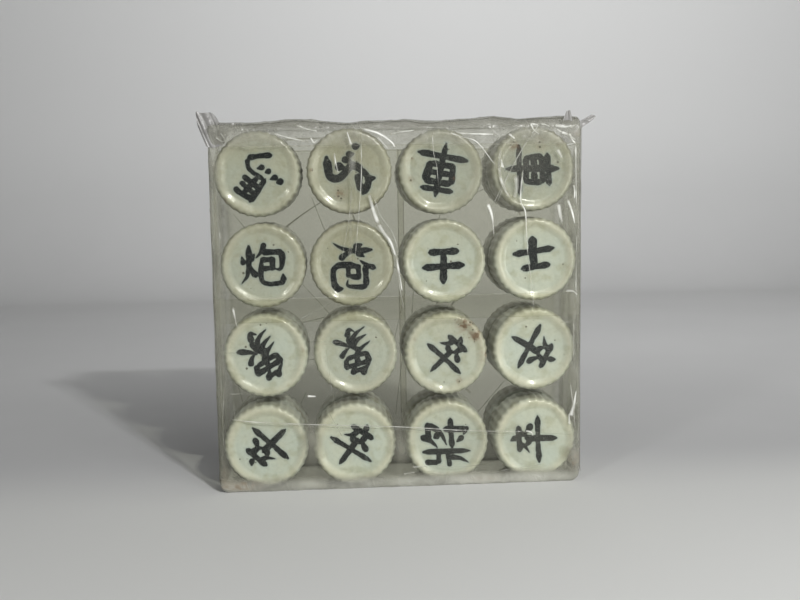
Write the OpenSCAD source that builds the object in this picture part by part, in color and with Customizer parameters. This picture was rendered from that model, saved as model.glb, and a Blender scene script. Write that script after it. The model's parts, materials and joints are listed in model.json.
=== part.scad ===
// Set of 32 round porcelain xiangqi pieces, packed four by four in two layers in clear film.
// Millimetres. X runs along the front to the right, Y to the back and Z up. The origin is the middle
// of the pack's underside. The front layer's faces look to -Y, the back layer's faces to +Y.

/* [Playing pieces] */
// Widest diameter of a piece, halfway along its side
piece_d = 29.5; // [26:0.5:36]
// Thickness of a piece from its foot to the top of its rim
piece_t = 14; // [11:0.5:18]
// How far the crowned side falls in from its middle to its edges
side_crown = 0.2; // [0.1:0.05:0.4]
// Rounding of the outer edges at the face and at the foot
edge_r = 1.6; // [1:0.1:2]
// Width of the raised rim round the dished face
rim_w = 2.1; // [2.1:0.1:3.5]
// Depth of the dished face below the top of the rim
dish_depth = 0.8; // [0.4:0.1:1.5]
// Radius of the hollow curve between the floor of the dish and the rim
dish_fillet = 4; // [2:0.5:6]
// Diameter of the shallow recess in the foot
foot_d = 20; // [12:0.5:22]
// Depth of the recess in the foot
foot_depth = 0.5; // [0.3:0.1:1.5]

/* [Scalloped side] */
// Number of shallow flutes round the side
flute_count = 32; // [20:1:36]
// Depth of a flute at the widest part of the side
flute_depth = 0.25; // [0.15:0.05:0.3]
// Radius of a flute's hollow
flute_r = 3; // [2:0.25:3.5]

/* [Packing] */
// Mean gap between neighbouring pieces in a row
column_gap = 1.6; // [0.6:0.1:3]
// Mean gap between neighbouring pieces in a column
row_gap = 1.5; // [0.6:0.1:3]
// Gap between the feet of the two layers
layer_gap = 0.3; // [0.2:0.05:1]
// Least gap between two pieces, however far they have slid towards each other
piece_clear = 0.3; // [0.2:0.05:0.4]
// Gap between the pieces and the film round them
film_clear = 0.25; // [0.2:0.05:0.6]

/* [Film] */
// Thickness of one ply of film
film_t = 0.2; // [0.1:0.05:0.4]
// Gap between the inner sleeve and the outer wrap
ply_gap = 0.05; // [0.05:0.05:0.3]
// Radius of the pack's lower corners, seen from the front
corner_r = 3.5; // [2:0.5:5]
// How far the mouth of the inner sleeve lies below the top of the wrap
sleeve_drop = 6.5; // [3:0.5:30]
// Width of the upright lap seam in the back of the inner sleeve
sleeve_lap_w = 2; // [1:0.5:8]
// How far that seam stands to the right of the middle
sleeve_lap_x = 2; // [-20:0.5:20]
// Height of the upper edge of the wrap's front lap seam above the underside
front_lap_z = 67; // [40:0.5:90]
// Width of the wrap's front lap seam
front_lap_w = 8; // [3:0.5:15]
// Width of the tucked margin round each open end of the wrap
tuck_w = 6; // [4:0.5:10]
// How far the two long flaps of an end fold lap over each other
end_lap_w = 6; // [3:0.5:12]

/* [Seal and ears] */
// Height of the crimped seal's highest crest above the top of the wrap
seal_h = 2.4; // [1:0.1:4]
// Thickness of the crimped seal
seal_t = 0.6; // [0.4:0.1:1.2]
// How far the crimped seal stands behind the front of the wrap
seal_setback = 3; // [1:0.5:10]
// Height of the left ear's tip above the top of the wrap
left_ear_h = 5; // [3:0.5:8]
// Thickness of one pleat of the left ear
pleat_t = 0.5; // [0.3:0.1:0.8]
// Number of pleats in the left ear
pleat_count = 3; // [2:1:5]
// Height of the right ear's peak above the top of the wrap
peak_h = 4.4; // [2:0.2:8]
// How far the right ear's tail stands out beside the wrap
tail_reach = 4.9; // [3:0.1:8]
// Thickness of the right ear's peak and tail
ear_t = 0.8; // [0.4:0.1:1.5]

/* [Hidden] */
$fn = 96;
BLACK_PIECES = [
    "black_horse_1", "black_horse_2", "black_chariot_1", "black_chariot_2",
    "black_cannon_1", "black_cannon_2", "black_advisor_1", "black_advisor_2",
    "black_elephant_1", "black_elephant_2", "black_soldier_1", "black_soldier_2",
    "black_soldier_3", "black_soldier_4", "black_general", "black_soldier_5"
];
RED_PIECES = [
    "red_chariot_1", "red_horse_1", "red_horse_2", "red_chariot_2",
    "red_cannon_1", "red_advisor_1", "red_advisor_2", "red_cannon_2",
    "red_elephant_1", "red_soldier_1", "red_soldier_2", "red_elephant_2",
    "red_soldier_3", "red_general", "red_soldier_4", "red_soldier_5"
];
FILM_PARTS = [
    "inner_sleeve", "outer_wrap", "left_end_fold", "right_end_fold", "top_seal",
    "left_ear", "right_ear_peak", "right_ear_tail"
];

// The grid of one layer
columns = 4;
rows = 4;
pitch_x = piece_d + column_gap;
pitch_z = piece_d + row_gap;
// The most that a piece slides from its place in the grid, so that neighbours stay apart
slide_x = (column_gap - piece_clear) / 2;
slide_z = (row_gap - piece_clear) / 2;
// Share of the most slide that each piece of a layer has taken, right and up, from the top row down
FRONT_SLIDE = [
    [[-0.8, 0], [-1, 1], [-1, 0], [0, 1]],
    [[1, 0.2], [-0.5, 0.3], [0.3, 0.7], [1, 1]],
    [[1, 0.5], [0.5, 0.7], [0.7, -1], [0.3, 0.5]],
    [[0, -0.4], [-1, -0.8], [0.9, -1], [0.8, -0.9]]
];
BACK_SLIDE = [
    [[-0.5, 0.5], [-0.2, 0.8], [-0.6, 0.2], [0.4, 0.6]],
    [[0.6, 0.2], [0, 0.6], [0.5, 0.3], [0.8, 0.9]],
    [[0.8, 0], [0.2, 0.3], [0.9, -0.4], [0.6, 0.2]],
    [[-0.3, -0.8], [-0.6, -0.5], [0.4, -1], [1, -0.7]]
];

// Outer sizes of the block of pieces, with room for their slide
block_w = (columns - 1) * pitch_x + piece_d + 2 * slide_x;
block_h = (rows - 1) * pitch_z + piece_d + 2 * slide_z;
block_d = 2 * piece_t + layer_gap;
// Inner sleeve, round the block
sleeve_w = block_w + 2 * (film_clear + film_t);
sleeve_d = block_d + 2 * (film_clear + film_t);
sleeve_r = corner_r - film_t - ply_gap;
sleeve_z = film_t + ply_gap;
// Outer wrap, round the sleeve and the seam on the sleeve's back
wrap_w = sleeve_w + 2 * (ply_gap + film_t);
wrap_front_y = -(sleeve_d / 2 + ply_gap + film_t);
wrap_back_y = sleeve_d / 2 + film_t + ply_gap + film_t;
wrap_d = wrap_back_y - wrap_front_y;
wrap_mid_y = (wrap_front_y + wrap_back_y) / 2;
block_z = sleeve_z + film_t + film_clear;
wrap_h = block_z + block_h + film_clear + film_t;
sleeve_top = wrap_h - sleeve_drop;
// The end folds' outer faces, with two plies on each end
end_x = wrap_w / 2 + 2 * film_t;

// Profile of a piece
piece_r = piece_d / 2;
crown_r = (pow(piece_t / 2, 2) + pow(side_crown, 2)) / (2 * side_crown);
floor_r = piece_r - rim_w - sqrt(pow(dish_fillet, 2) - pow(dish_fillet - dish_depth, 2));
// Cuts run this far past the faces that they leave
over = 1;

// Half of a piece's section, from its axis out: rounded edges, crowned side, dished face, foot recess
module piece_profile() {
    difference() {
        intersection() {
            union() {
                square([piece_r - edge_r, piece_t]);
                translate([0, edge_r]) square([piece_r, piece_t - 2 * edge_r]);
                for (z = [edge_r, piece_t - edge_r]) translate([piece_r - edge_r, z]) circle(edge_r);
            }
            translate([piece_r - crown_r, piece_t / 2]) circle(crown_r);
            square([piece_r, piece_t]);
        }
        translate([0, piece_t - dish_depth]) square([floor_r, dish_depth + over]);
        translate([floor_r, piece_t - dish_depth + dish_fillet]) circle(dish_fillet);
        translate([0, -over]) square([foot_d / 2, foot_depth + over]);
    }
}

// One piece on its foot, with its axis on Z
module playing_piece() {
    difference() {
        rotate_extrude() piece_profile();
        for (i = [0 : flute_count - 1])
            rotate(i * 360 / flute_count)
                translate([piece_r + flute_r - flute_depth, 0, -over])
                    cylinder(r = flute_r, h = piece_t + 2 * over);
    }
}

// Middle of a piece's axis at its foot, for its number in reading order seen from the front
function piece_place(i, slide, y) = let (
    row = floor(i / columns),
    column = i % columns
) [
    (column - (columns - 1) / 2) * pitch_x + slide[row][column][0] * slide_x,
    y,
    block_z + slide_z + piece_r + (rows - 1 - row) * pitch_z + slide[row][column][1] * slide_z
];

// A piece of the front layer, with its face to the front
module black_piece(i) {
    color("ivory")
        translate(piece_place(i, FRONT_SLIDE, -layer_gap / 2)) rotate([90, 0, 0]) playing_piece();
}

// A piece of the back layer, with its face to the back
module red_piece(i) {
    color("antiquewhite")
        translate(piece_place(i, BACK_SLIDE, layer_gap / 2)) rotate([-90, 0, 0]) playing_piece();
}

// Outline of the pack's front: square upper corners and rounded lower ones
module front_outline(w, h, r) {
    translate([-w / 2, r]) square([w, h - r]);
    translate([-(w / 2 - r), 0]) square([w - 2 * r, r]);
    for (side = [-1, 1]) translate([side * (w / 2 - r), r]) circle(r);
}

// Slab with the pack's front outline, from one Y to another
module slab(w, h, r, y_from, y_to) {
    translate([0, y_to, 0]) rotate([90, 0, 0]) linear_extrude(y_to - y_from) front_outline(w, h, r);
}

// Film bag round the block, open at the top, with a lap seam up its back
module inner_sleeve() {
    color([0.86, 0.86, 0.8, 0.3]) {
        translate([0, 0, sleeve_z]) difference() {
            slab(sleeve_w, sleeve_top - sleeve_z, sleeve_r, -sleeve_d / 2, sleeve_d / 2);
            translate([0, 0, film_t])
                slab(sleeve_w - 2 * film_t, sleeve_top, sleeve_r - film_t,
                     film_t - sleeve_d / 2, sleeve_d / 2 - film_t);
        }
        translate([sleeve_lap_x, sleeve_d / 2, sleeve_z + sleeve_r])
            cube([sleeve_lap_w, film_t, sleeve_top - sleeve_z - sleeve_r]);
    }
}

// Outer sheet, lapped across the front, with an opening between the tucked margins of each end
module outer_wrap() {
    window_z = wrap_d;
    color([0.88, 0.88, 0.83, 0.3]) {
        difference() {
            slab(wrap_w, wrap_h, corner_r, wrap_front_y, wrap_back_y);
            translate([0, 0, film_t])
                slab(wrap_w - 2 * film_t, wrap_h - 2 * film_t, corner_r - film_t,
                     wrap_front_y + film_t, wrap_back_y - film_t);
            translate([-(wrap_w / 2 + over), wrap_front_y + tuck_w, window_z])
                cube([wrap_w + 2 * over, wrap_d - 2 * tuck_w, wrap_h - 2 * window_z]);
        }
        translate([-wrap_w / 2, wrap_front_y - film_t, front_lap_z - front_lap_w])
            cube([wrap_w, film_t, front_lap_w]);
    }
}

// Long flap of an end fold, in plan: its root runs up the pack's edge and its ends are cut at 45 degrees
module end_flap(reach, plies) {
    low = corner_r;
    high = wrap_h;
    linear_extrude(plies * film_t)
        polygon([[0, low], [reach, low + reach], [reach, high - reach], [0, high]]);
}

// Front and rear flaps that close one end, the rear one lapped over the front one
module end_fold(side) {
    reach = (wrap_d + end_lap_w) / 2;
    turn = side > 0 ? [90, 0, 90] : [90, 0, -90];
    color([0.84, 0.84, 0.78, 0.35])
        translate([side * wrap_w / 2, wrap_mid_y, 0])
            rotate(turn)
                for (flap = [-1, 1])
                    translate([flap * wrap_d / 2, 0, 0])
                        mirror([flap > 0 ? 1 : 0, 0, 0])
                            end_flap(reach, flap * side > 0 ? 2 : 1);
}

// Crimped film edge along the top; each crest is a share of the half width and of the seal's height
module top_seal() {
    crests = [
        [-1, 0.3], [-0.81, 0.2], [-0.54, 0.85], [-0.27, 0.25], [0.05, 0.7], [0.16, 0.25],
        [0.53, 1], [0.67, 0.65], [0.9, 0.95], [1, 0.8]
    ];
    half_w = wrap_w / 2;
    color([0.9, 0.9, 0.86, 0.4])
        translate([0, wrap_front_y + seal_setback + seal_t, wrap_h])
            rotate([90, 0, 0])
                linear_extrude(seal_t)
                    polygon(concat(
                        [for (c = crests) [c[0] * half_w, c[1] * seal_h]],
                        [[half_w, 0], [-half_w, 0]]
                    ));
}

// Left ear's outline about the pack's upper left corner, with nothing over the corner itself
module left_ear_outline() {
    h = left_ear_h;
    polygon([
        [0, 0], [0, -1.4 * h], [-0.12 * h, -h], [-0.5 * h, 0.06 * h], [-0.68 * h, h], [-0.4 * h, 0.8 * h],
        [-0.1 * h, 0.98 * h], [0.24 * h, 0.88 * h], [0.58 * h, 0.68 * h], [0.9 * h, 0.2 * h], [1.2 * h, 0]
    ]);
}

// Pleated tuft at the upper left corner, with its pleats one behind the other and each a little smaller
module left_ear() {
    pleat_pitch = 1.6 * pleat_t;
    color([0.9, 0.9, 0.86, 0.5])
        for (i = [0 : pleat_count - 1])
            translate([-end_x, wrap_front_y + pleat_t + i * pleat_pitch, wrap_h])
                rotate([90, 0, 0])
                    linear_extrude(pleat_t) scale(1 - i / (2 * pleat_count + 2)) left_ear_outline();
}

// Small pointed film corner that stands on the top near the right end
module right_ear_peak() {
    foot_w = 0.78 * peak_h;
    color([0.9, 0.9, 0.86, 0.5])
        translate([wrap_w / 2 - 1.25 * peak_h, wrap_front_y + ear_t, wrap_h])
            rotate([90, 0, 0])
                linear_extrude(ear_t) polygon([[0, 0], [foot_w, 0], [0.45 * peak_h, peak_h]]);
}

// Flat strip of film that sticks out and up from the upper right corner
module right_ear_tail() {
    reach = tail_reach;
    color([0.9, 0.9, 0.86, 0.5])
        translate([end_x, wrap_front_y + ear_t, wrap_h])
            rotate([90, 0, 0])
                linear_extrude(ear_t)
                    polygon([
                        [0, -0.5 * reach], [0.84 * reach, 0.24 * reach], [reach, 0.47 * reach],
                        [0.7 * reach, 0.57 * reach], [0, 0.16 * reach]
                    ]);
}

for (i = [0 : len(BLACK_PIECES) - 1]) black_piece(i);
for (i = [0 : len(RED_PIECES) - 1]) red_piece(i);
inner_sleeve();
outer_wrap();
end_fold(-1);  // left_end_fold
end_fold(1);  // right_end_fold
top_seal();
left_ear();
right_ear_peak();
right_ear_tail();
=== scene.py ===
"""Dresses a film-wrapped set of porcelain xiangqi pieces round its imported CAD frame.

Shapes are worked out in millimetres in the frame of the CAD: X to the right, Y to the back and Z up.
"""
import sys

import itertools
import json
import logging
import math
from dataclasses import dataclass, field
from enum import Enum

import bpy
import numpy as np
from mathutils import Matrix, Vector

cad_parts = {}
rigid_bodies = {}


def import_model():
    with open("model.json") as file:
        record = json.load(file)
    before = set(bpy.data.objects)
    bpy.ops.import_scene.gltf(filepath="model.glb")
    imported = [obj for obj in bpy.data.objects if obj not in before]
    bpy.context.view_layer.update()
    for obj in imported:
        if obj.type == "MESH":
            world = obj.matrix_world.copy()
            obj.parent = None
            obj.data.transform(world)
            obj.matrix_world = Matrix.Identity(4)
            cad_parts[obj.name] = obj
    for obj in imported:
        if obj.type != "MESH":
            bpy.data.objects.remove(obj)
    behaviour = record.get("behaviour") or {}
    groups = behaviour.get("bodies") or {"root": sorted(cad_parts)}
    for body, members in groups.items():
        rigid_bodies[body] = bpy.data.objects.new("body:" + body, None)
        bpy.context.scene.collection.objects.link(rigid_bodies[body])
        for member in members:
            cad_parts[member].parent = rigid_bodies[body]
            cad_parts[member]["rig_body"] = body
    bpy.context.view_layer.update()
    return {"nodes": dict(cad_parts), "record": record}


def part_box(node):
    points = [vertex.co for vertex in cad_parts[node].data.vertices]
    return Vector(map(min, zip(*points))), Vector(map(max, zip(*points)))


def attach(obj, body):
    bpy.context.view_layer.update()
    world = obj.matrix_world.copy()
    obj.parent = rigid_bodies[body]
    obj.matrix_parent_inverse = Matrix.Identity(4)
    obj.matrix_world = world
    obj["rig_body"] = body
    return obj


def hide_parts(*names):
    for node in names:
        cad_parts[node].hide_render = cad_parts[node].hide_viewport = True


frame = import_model()

MM = 0.001
FILM_BODY = "wrap"
# Thickness of one ply of the CAD's film.
PLY = 0.2
LOG = logging.getLogger("pack")

Colour = tuple[float, float, float]
Route = tuple[tuple[float, float], ...]
Array = np.ndarray
Material = bpy.types.Material
Socket = bpy.types.NodeSocket
Tree = bpy.types.NodeTree


def smoothstep(values: Array, low: float, high: float) -> Array:
    """Rises from 0 at low to 1 at high along 3t^2 - 2t^3."""
    share = np.clip((values - low) / (high - low), 0.0, 1.0)
    return share * share * (3.0 - 2.0 * share)


def lattice_noise(points: Array, seed: int) -> Array:
    """Smooth noise between -1 and 1 with cells one unit wide.

    Each point blends the hashed values of the eight lattice corners round it by s-curves.

    Args:
        points: places, in cells, with three numbers on the last axis.
        seed: which noise.

    Returns:
        One value for each place.
    """
    cell = np.floor(points).astype(np.int64)
    share = points - cell
    share = share * share * (3.0 - 2.0 * share)
    total = np.zeros(points.shape[:-1])
    for corner in itertools.product((0, 1), repeat=3):
        lattice = cell + np.array(corner)
        mixed = lattice[..., 0] * 73856093 ^ lattice[..., 1] * 19349663 ^ lattice[..., 2] * 83492791
        mixed = (mixed ^ seed * 2654435761) & 0xFFFFFFFF
        mixed = ((mixed ^ (mixed >> 15)) * 1274126177) & 0xFFFFFFFF
        value = ((mixed ^ (mixed >> 16)) & 0xFFFF) / 32767.5 - 1.0
        total += value * np.prod(np.where(corner, share, 1.0 - share), axis=-1)
    return total


def cloud_noise(points: Array, size: float, seed: int, octaves: int = 3) -> Array:
    """Sum of lattice noises, each half as wide and half as strong as the one before.

    Args:
        points: places, in millimetres.
        size: width of the widest noise's cells.
        seed: which noise.
        octaves: how many noises.

    Returns:
        One value from -1 to 1 for each place.
    """
    total = np.zeros(points.shape[:-1])
    for octave in range(octaves):
        total += lattice_noise(points * 2**octave / size, seed + octave) / 2**octave
    return total / (2.0 - 2.0 ** (1 - octaves))


def ridge_noise(points: Array, size: float, seed: int, sharpness: float = 4.0) -> Array:
    """Network of sharp ridges: one less the noise's absolute value, raised to a power.

    Args:
        points: places, in millimetres.
        size: width of the coarse network's cells.
        seed: which noise.
        sharpness: the power.

    Returns:
        One value from 0 to 1 for each place.
    """
    coarse = (1.0 - np.abs(lattice_noise(points / size, seed))) ** sharpness
    fine = (1.0 - np.abs(lattice_noise(points * 2.1 / size, seed + 7))) ** sharpness
    return 0.7 * coarse + 0.3 * fine


def along(route: Array, count: int) -> Array:
    """Evenly spaced points on a smooth curve through a route's points.

    The curve is the Catmull-Rom cubic, each of whose tangents is half the step between the neighbours.

    Args:
        route: the points that the curve passes through, one a row.
        count: how many points to give.

    Returns:
        The points, one a row.
    """
    route = np.asarray(route, float)
    ends = np.vstack([2 * route[0] - route[1], route, 2 * route[-1] - route[-2]])
    place = np.linspace(0.0, len(route) - 1.0, count)
    span = np.minimum(place.astype(int), len(route) - 2)
    t = (place - span)[:, None]
    a, b, c, d = (ends[span + k] for k in range(4))
    return 0.5 * (2 * b + (c - a) * t + (2 * a - 5 * b + 4 * c - d) * t**2 + (3 * b - a - 3 * c + d) * t**3)


def rounded_path(corners: Array, radius: float, step: float) -> Array:
    """Points along a polyline whose square corners are rounded by quarter circles.

    Args:
        corners: the polyline's points, one a row, with right angles between its runs.
        radius: radius of each quarter circle.
        step: length between neighbouring points on the straight runs.

    Returns:
        The points, one a row.
    """
    corners = np.asarray(corners, float)
    pieces = []
    start = corners[0]
    for before, corner, after in zip(corners, corners[1:], corners[2:]):
        into = (corner - before) / np.linalg.norm(corner - before)
        out = (after - corner) / np.linalg.norm(after - corner)
        stop = corner - into * radius
        runs = max(int(np.linalg.norm(stop - start) / step), 1)
        pieces.append(start + (stop - start) * np.linspace(0, 1, runs, endpoint=False)[:, None])
        turn = np.linspace(0, math.pi / 2, 5, endpoint=False)[:, None]
        pieces.append(stop + radius * (into * np.sin(turn) + out * (1 - np.cos(turn))))
        start = corner + out * radius
    runs = max(int(np.linalg.norm(corners[-1] - start) / step), 1)
    pieces.append(start + (corners[-1] - start) * np.linspace(0, 1, runs + 1)[:, None])
    return np.vstack(pieces)


def grid_faces(rows: int, columns: int, closed: bool = False) -> Array:
    """Quads of a grid of points numbered row by row.

    Args:
        rows: how many rows it has.
        columns: how many points a row has.
        closed: whether its last column joins its first.

    Returns:
        The quads, one a row.
    """
    across = columns if closed else columns - 1
    row, column = np.meshgrid(np.arange(rows - 1), np.arange(across), indexing="ij")
    beside = (column + 1) % columns
    here = row * columns
    corners = (here + column, here + columns + column, here + columns + beside, here + beside)
    return np.stack(corners, axis=-1).reshape(-1, 4)


def grid_normals(points: Array) -> Array:
    """Unit normals of a grid of points: the cross product of its steps down the rows and along them."""
    cross = np.cross(np.gradient(points, axis=0), np.gradient(points, axis=1))
    return cross / np.maximum(np.linalg.norm(cross, axis=-1, keepdims=True), 1e-9)


@dataclass
class Surface:
    """Points, faces and values at the points of one sheet or body, in millimetres."""

    points: Array
    quads: Array
    triangles: Array = field(default_factory=lambda: np.empty((0, 3), int))
    values: dict[str, Array] = field(default_factory=dict)

    @staticmethod
    def grid(points: Array, values: dict[str, Array], closed: bool = False) -> "Surface":
        """A surface from a grid of points.

        Args:
            points: the grid, with its rows on the first axis.
            values: the values on it, by name, each for all points or for each of them.
            closed: whether its last column joins its first.

        Returns:
            The surface.
        """
        faces = grid_faces(points.shape[0], points.shape[1], closed)
        flat = {name: np.broadcast_to(value, points.shape[:2]).ravel() for name, value in values.items()}
        return Surface(points.reshape(-1, 3), faces, values=flat)

    @staticmethod
    def joined(parts: list["Surface"]) -> "Surface":
        """Several surfaces as one, with their points one after the other."""
        starts = np.cumsum([0] + [len(part.points) for part in parts[:-1]])
        return Surface(
            np.vstack([part.points for part in parts]),
            np.vstack([part.quads + start for part, start in zip(parts, starts)]),
            np.vstack([part.triangles + start for part, start in zip(parts, starts)]),
            {name: np.concatenate([part.values[name] for part in parts]) for name in parts[0].values},
        )


def make_piece(name: str, surface: Surface, material: Material) -> bpy.types.Object:
    """Puts a surface into a new smooth-shaded object at the origin.

    Args:
        name: the object's name.
        surface: its shape, in millimetres.
        material: its material.

    Returns:
        The object, linked to the scene.
    """
    mesh = bpy.data.meshes.new(name)
    loops = np.concatenate([surface.quads.ravel(), surface.triangles.ravel()])
    counts = np.concatenate([np.full(len(surface.quads), 4), np.full(len(surface.triangles), 3)])
    mesh.vertices.add(len(surface.points))
    mesh.vertices.foreach_set("co", (surface.points * MM).astype(np.float32).ravel())
    mesh.loops.add(len(loops))
    mesh.loops.foreach_set("vertex_index", loops.astype(np.int32))
    mesh.polygons.add(len(counts))
    mesh.polygons.foreach_set("loop_start", (np.cumsum(counts) - counts).astype(np.int32))
    mesh.polygons.foreach_set("use_smooth", np.ones(len(counts), bool))
    for label, values in surface.values.items():
        layer = mesh.attributes.new(label, "FLOAT", "POINT")
        layer.data.foreach_set("value", values.astype(np.float32))
    mesh.materials.append(material)
    mesh.update(calc_edges=True)
    mesh.validate()
    piece = bpy.data.objects.new(name, mesh)
    bpy.context.scene.collection.objects.link(piece)
    LOG.info("%s: %d points, %d faces", name, len(surface.points), len(counts))
    return piece


def box_mm(node: str) -> tuple[Array, Array]:
    """Lower and upper corner of a CAD node's box, in millimetres."""
    low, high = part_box(node)
    return np.array(low) / MM, np.array(high) / MM


def dress_node(node: str, body: str, name: str, surface: Surface, material: Material) -> None:
    """Makes a piece, seats it on its body and lets it take its CAD node's place.

    Args:
        node: the CAD node.
        body: the body that it rides on.
        name: the piece's name.
        surface: its shape.
        material: its material.
    """
    piece = make_piece(name, surface, material)
    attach(piece, body)
    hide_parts(node)


class Nodes:
    """Adds nodes to one tree, each with its settings and its links in one call."""

    def __init__(self, tree: Tree) -> None:
        """Keeps the tree."""
        self.tree = tree

    def add(self, kind: str, inputs: dict | None = None, **settings) -> bpy.types.Node:
        """Adds a node.

        Args:
            kind: its type, without the word ShaderNode.
            inputs: values or output sockets for its inputs, by name or number.
            settings: its own properties.

        Returns:
            The node.
        """
        node = self.tree.nodes.new(kind if kind.startswith("Node") else "ShaderNode" + kind)
        for name, value in settings.items():
            setattr(node, name, value)
        for name, value in (inputs or {}).items():
            if isinstance(value, Socket):
                self.tree.links.new(value, node.inputs[name])
            else:
                node.inputs[name].default_value = value
        return node

    def maths(self, operation: str, *values: object, clamp: bool = False) -> Socket:
        """A Math node on one to three numbers or sockets."""
        return self.add("Math", dict(enumerate(values)), operation=operation, use_clamp=clamp).outputs[0]

    def span(self, value: object, low: float, high: float, start: float, stop: float) -> Socket:
        """A smooth step of value from low to high, given as start to stop."""
        inputs = {"Value": value, 1: low, 2: high, 3: start, 4: stop}
        return self.add("MapRange", inputs, interpolation_type="SMOOTHSTEP").outputs[0]

    def blend(self, share: object, first: object, second: object) -> Socket:
        """A colour that goes from first to second by a share."""
        first, second = (value if isinstance(value, Socket) else (*value, 1.0)
                         for value in (first, second))
        return self.add("Mix", {0: share, 6: first, 7: second}, data_type="RGBA").outputs[2]

    def value(self, name: str) -> Socket:
        """The piece's own value of that name."""
        return self.add("Attribute", attribute_name=name, attribute_type="GEOMETRY").outputs["Fac"]

    def place(self) -> Socket:
        """Object coordinates."""
        return self.add("TexCoord").outputs["Object"]

    def group(self, tree: Tree, inputs: dict) -> bpy.types.Node:
        """A node that runs a shared group."""
        return self.add("Group", inputs, node_tree=tree)


def new_group(
    name: str, inputs: dict[str, str], outputs: dict[str, str]
) -> tuple[Nodes, bpy.types.Node, bpy.types.Node]:
    """A shader node group with named sockets.

    Args:
        name: the group's name.
        inputs: socket types by input name.
        outputs: socket types by output name.

    Returns:
        The group's nodes, its input node and its output node.
    """
    tree = bpy.data.node_groups.new(name, "ShaderNodeTree")
    for direction, sockets in (("INPUT", inputs), ("OUTPUT", outputs)):
        for label, kind in sockets.items():
            tree.interface.new_socket(label, in_out=direction, socket_type="NodeSocket" + kind)
    nodes = Nodes(tree)
    return nodes, nodes.add("NodeGroupInput"), nodes.add("NodeGroupOutput")


class Effects:
    """Shader node groups that more than one finish uses."""

    def __init__(self) -> None:
        """Builds each group once."""
        self.clouds = self.make_clouds()
        self.specks = self.make_specks()
        self.crinkle = self.make_crinkle()

    @staticmethod
    def make_clouds() -> Tree:
        """Soft patches: fractal noise, with its middle values spread by the contrast."""
        inputs = {"Vector": "Vector", "Scale": "Float", "Contrast": "Float"}
        nodes, start, end = new_group("cloudy_patches", inputs, {"Mask": "Float"})
        noise = nodes.add("TexNoise", {"Vector": start.outputs[0], "Scale": start.outputs[1], "Detail": 5.0})
        centred = nodes.maths("SUBTRACT", noise.outputs[0], 0.5)
        spread = nodes.maths("MULTIPLY_ADD", centred, start.outputs[2], 0.5, clamp=True)
        nodes.tree.links.new(spread, end.inputs[0])
        return nodes.tree

    @staticmethod
    def make_specks() -> Tree:
        """Small dots: the middles of a share of Voronoi cells, each with its own size."""
        inputs = {"Vector": "Vector", "Scale": "Float", "Size": "Float", "Share": "Float"}
        nodes, start, end = new_group("scattered_specks", inputs, {"Mask": "Float"})
        cells = nodes.add("TexVoronoi", {"Vector": start.outputs[0], "Scale": start.outputs[1]})
        parts = nodes.add("SeparateColor", {0: cells.outputs["Color"]})
        size = nodes.maths("MULTIPLY", parts.outputs[0], start.outputs[2])
        inside = nodes.maths("SUBTRACT", size, cells.outputs["Distance"])
        dot = nodes.maths("MULTIPLY", inside, 18.0, clamp=True)
        chosen = nodes.maths("LESS_THAN", parts.outputs[1], start.outputs[3])
        nodes.tree.links.new(nodes.maths("MULTIPLY", dot, chosen), end.inputs[0])
        return nodes.tree

    @staticmethod
    def make_crinkle() -> Tree:
        """Fine crumples: ridged noise as a height, and the tops of its ridges as a mask."""
        inputs = {"Vector": "Vector", "Scale": "Float", "Sharpness": "Float"}
        nodes, start, end = new_group("fine_crinkle", inputs, {"Height": "Float", "Mask": "Float"})
        settings = {"Vector": start.outputs[0], "Scale": start.outputs[1], "Detail": 3.0, "Distortion": 0.6}
        noise = nodes.add("TexNoise", settings)
        away = nodes.maths("ABSOLUTE", nodes.maths("SUBTRACT", noise.outputs[0], 0.5))
        ridge = nodes.maths("SUBTRACT", 1.0, nodes.maths("MULTIPLY", away, 4.0), clamp=True)
        sharp = nodes.maths("POWER", ridge, start.outputs[2])
        nodes.tree.links.new(sharp, end.inputs[0])
        nodes.tree.links.new(nodes.span(sharp, 0.55, 0.95, 0.0, 1.0), end.inputs[1])
        return nodes.tree

    def patches(self, nodes: Nodes, scale: float, contrast: float) -> Socket:
        """The mask of soft patches on a piece, at a scale per metre."""
        inputs = {"Vector": nodes.place(), "Scale": scale, "Contrast": contrast}
        return nodes.group(self.clouds, inputs).outputs[0]

    def dots(self, nodes: Nodes, scale: float, size: float, share: float) -> Socket:
        """The mask of small dots on a piece, at a scale per metre, in a share of the cells."""
        inputs = {"Vector": nodes.place(), "Scale": scale, "Size": size, "Share": share}
        return nodes.group(self.specks, inputs).outputs[0]


def new_material(name: str) -> tuple[Material, Nodes, bpy.types.Node]:
    """An empty node material.

    Args:
        name: the material's name.

    Returns:
        The material, its nodes and its output node.
    """
    material = bpy.data.materials.new(name)
    material.use_nodes = True
    material.node_tree.nodes.clear()
    nodes = Nodes(material.node_tree)
    return material, nodes, nodes.add("OutputMaterial")


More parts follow.
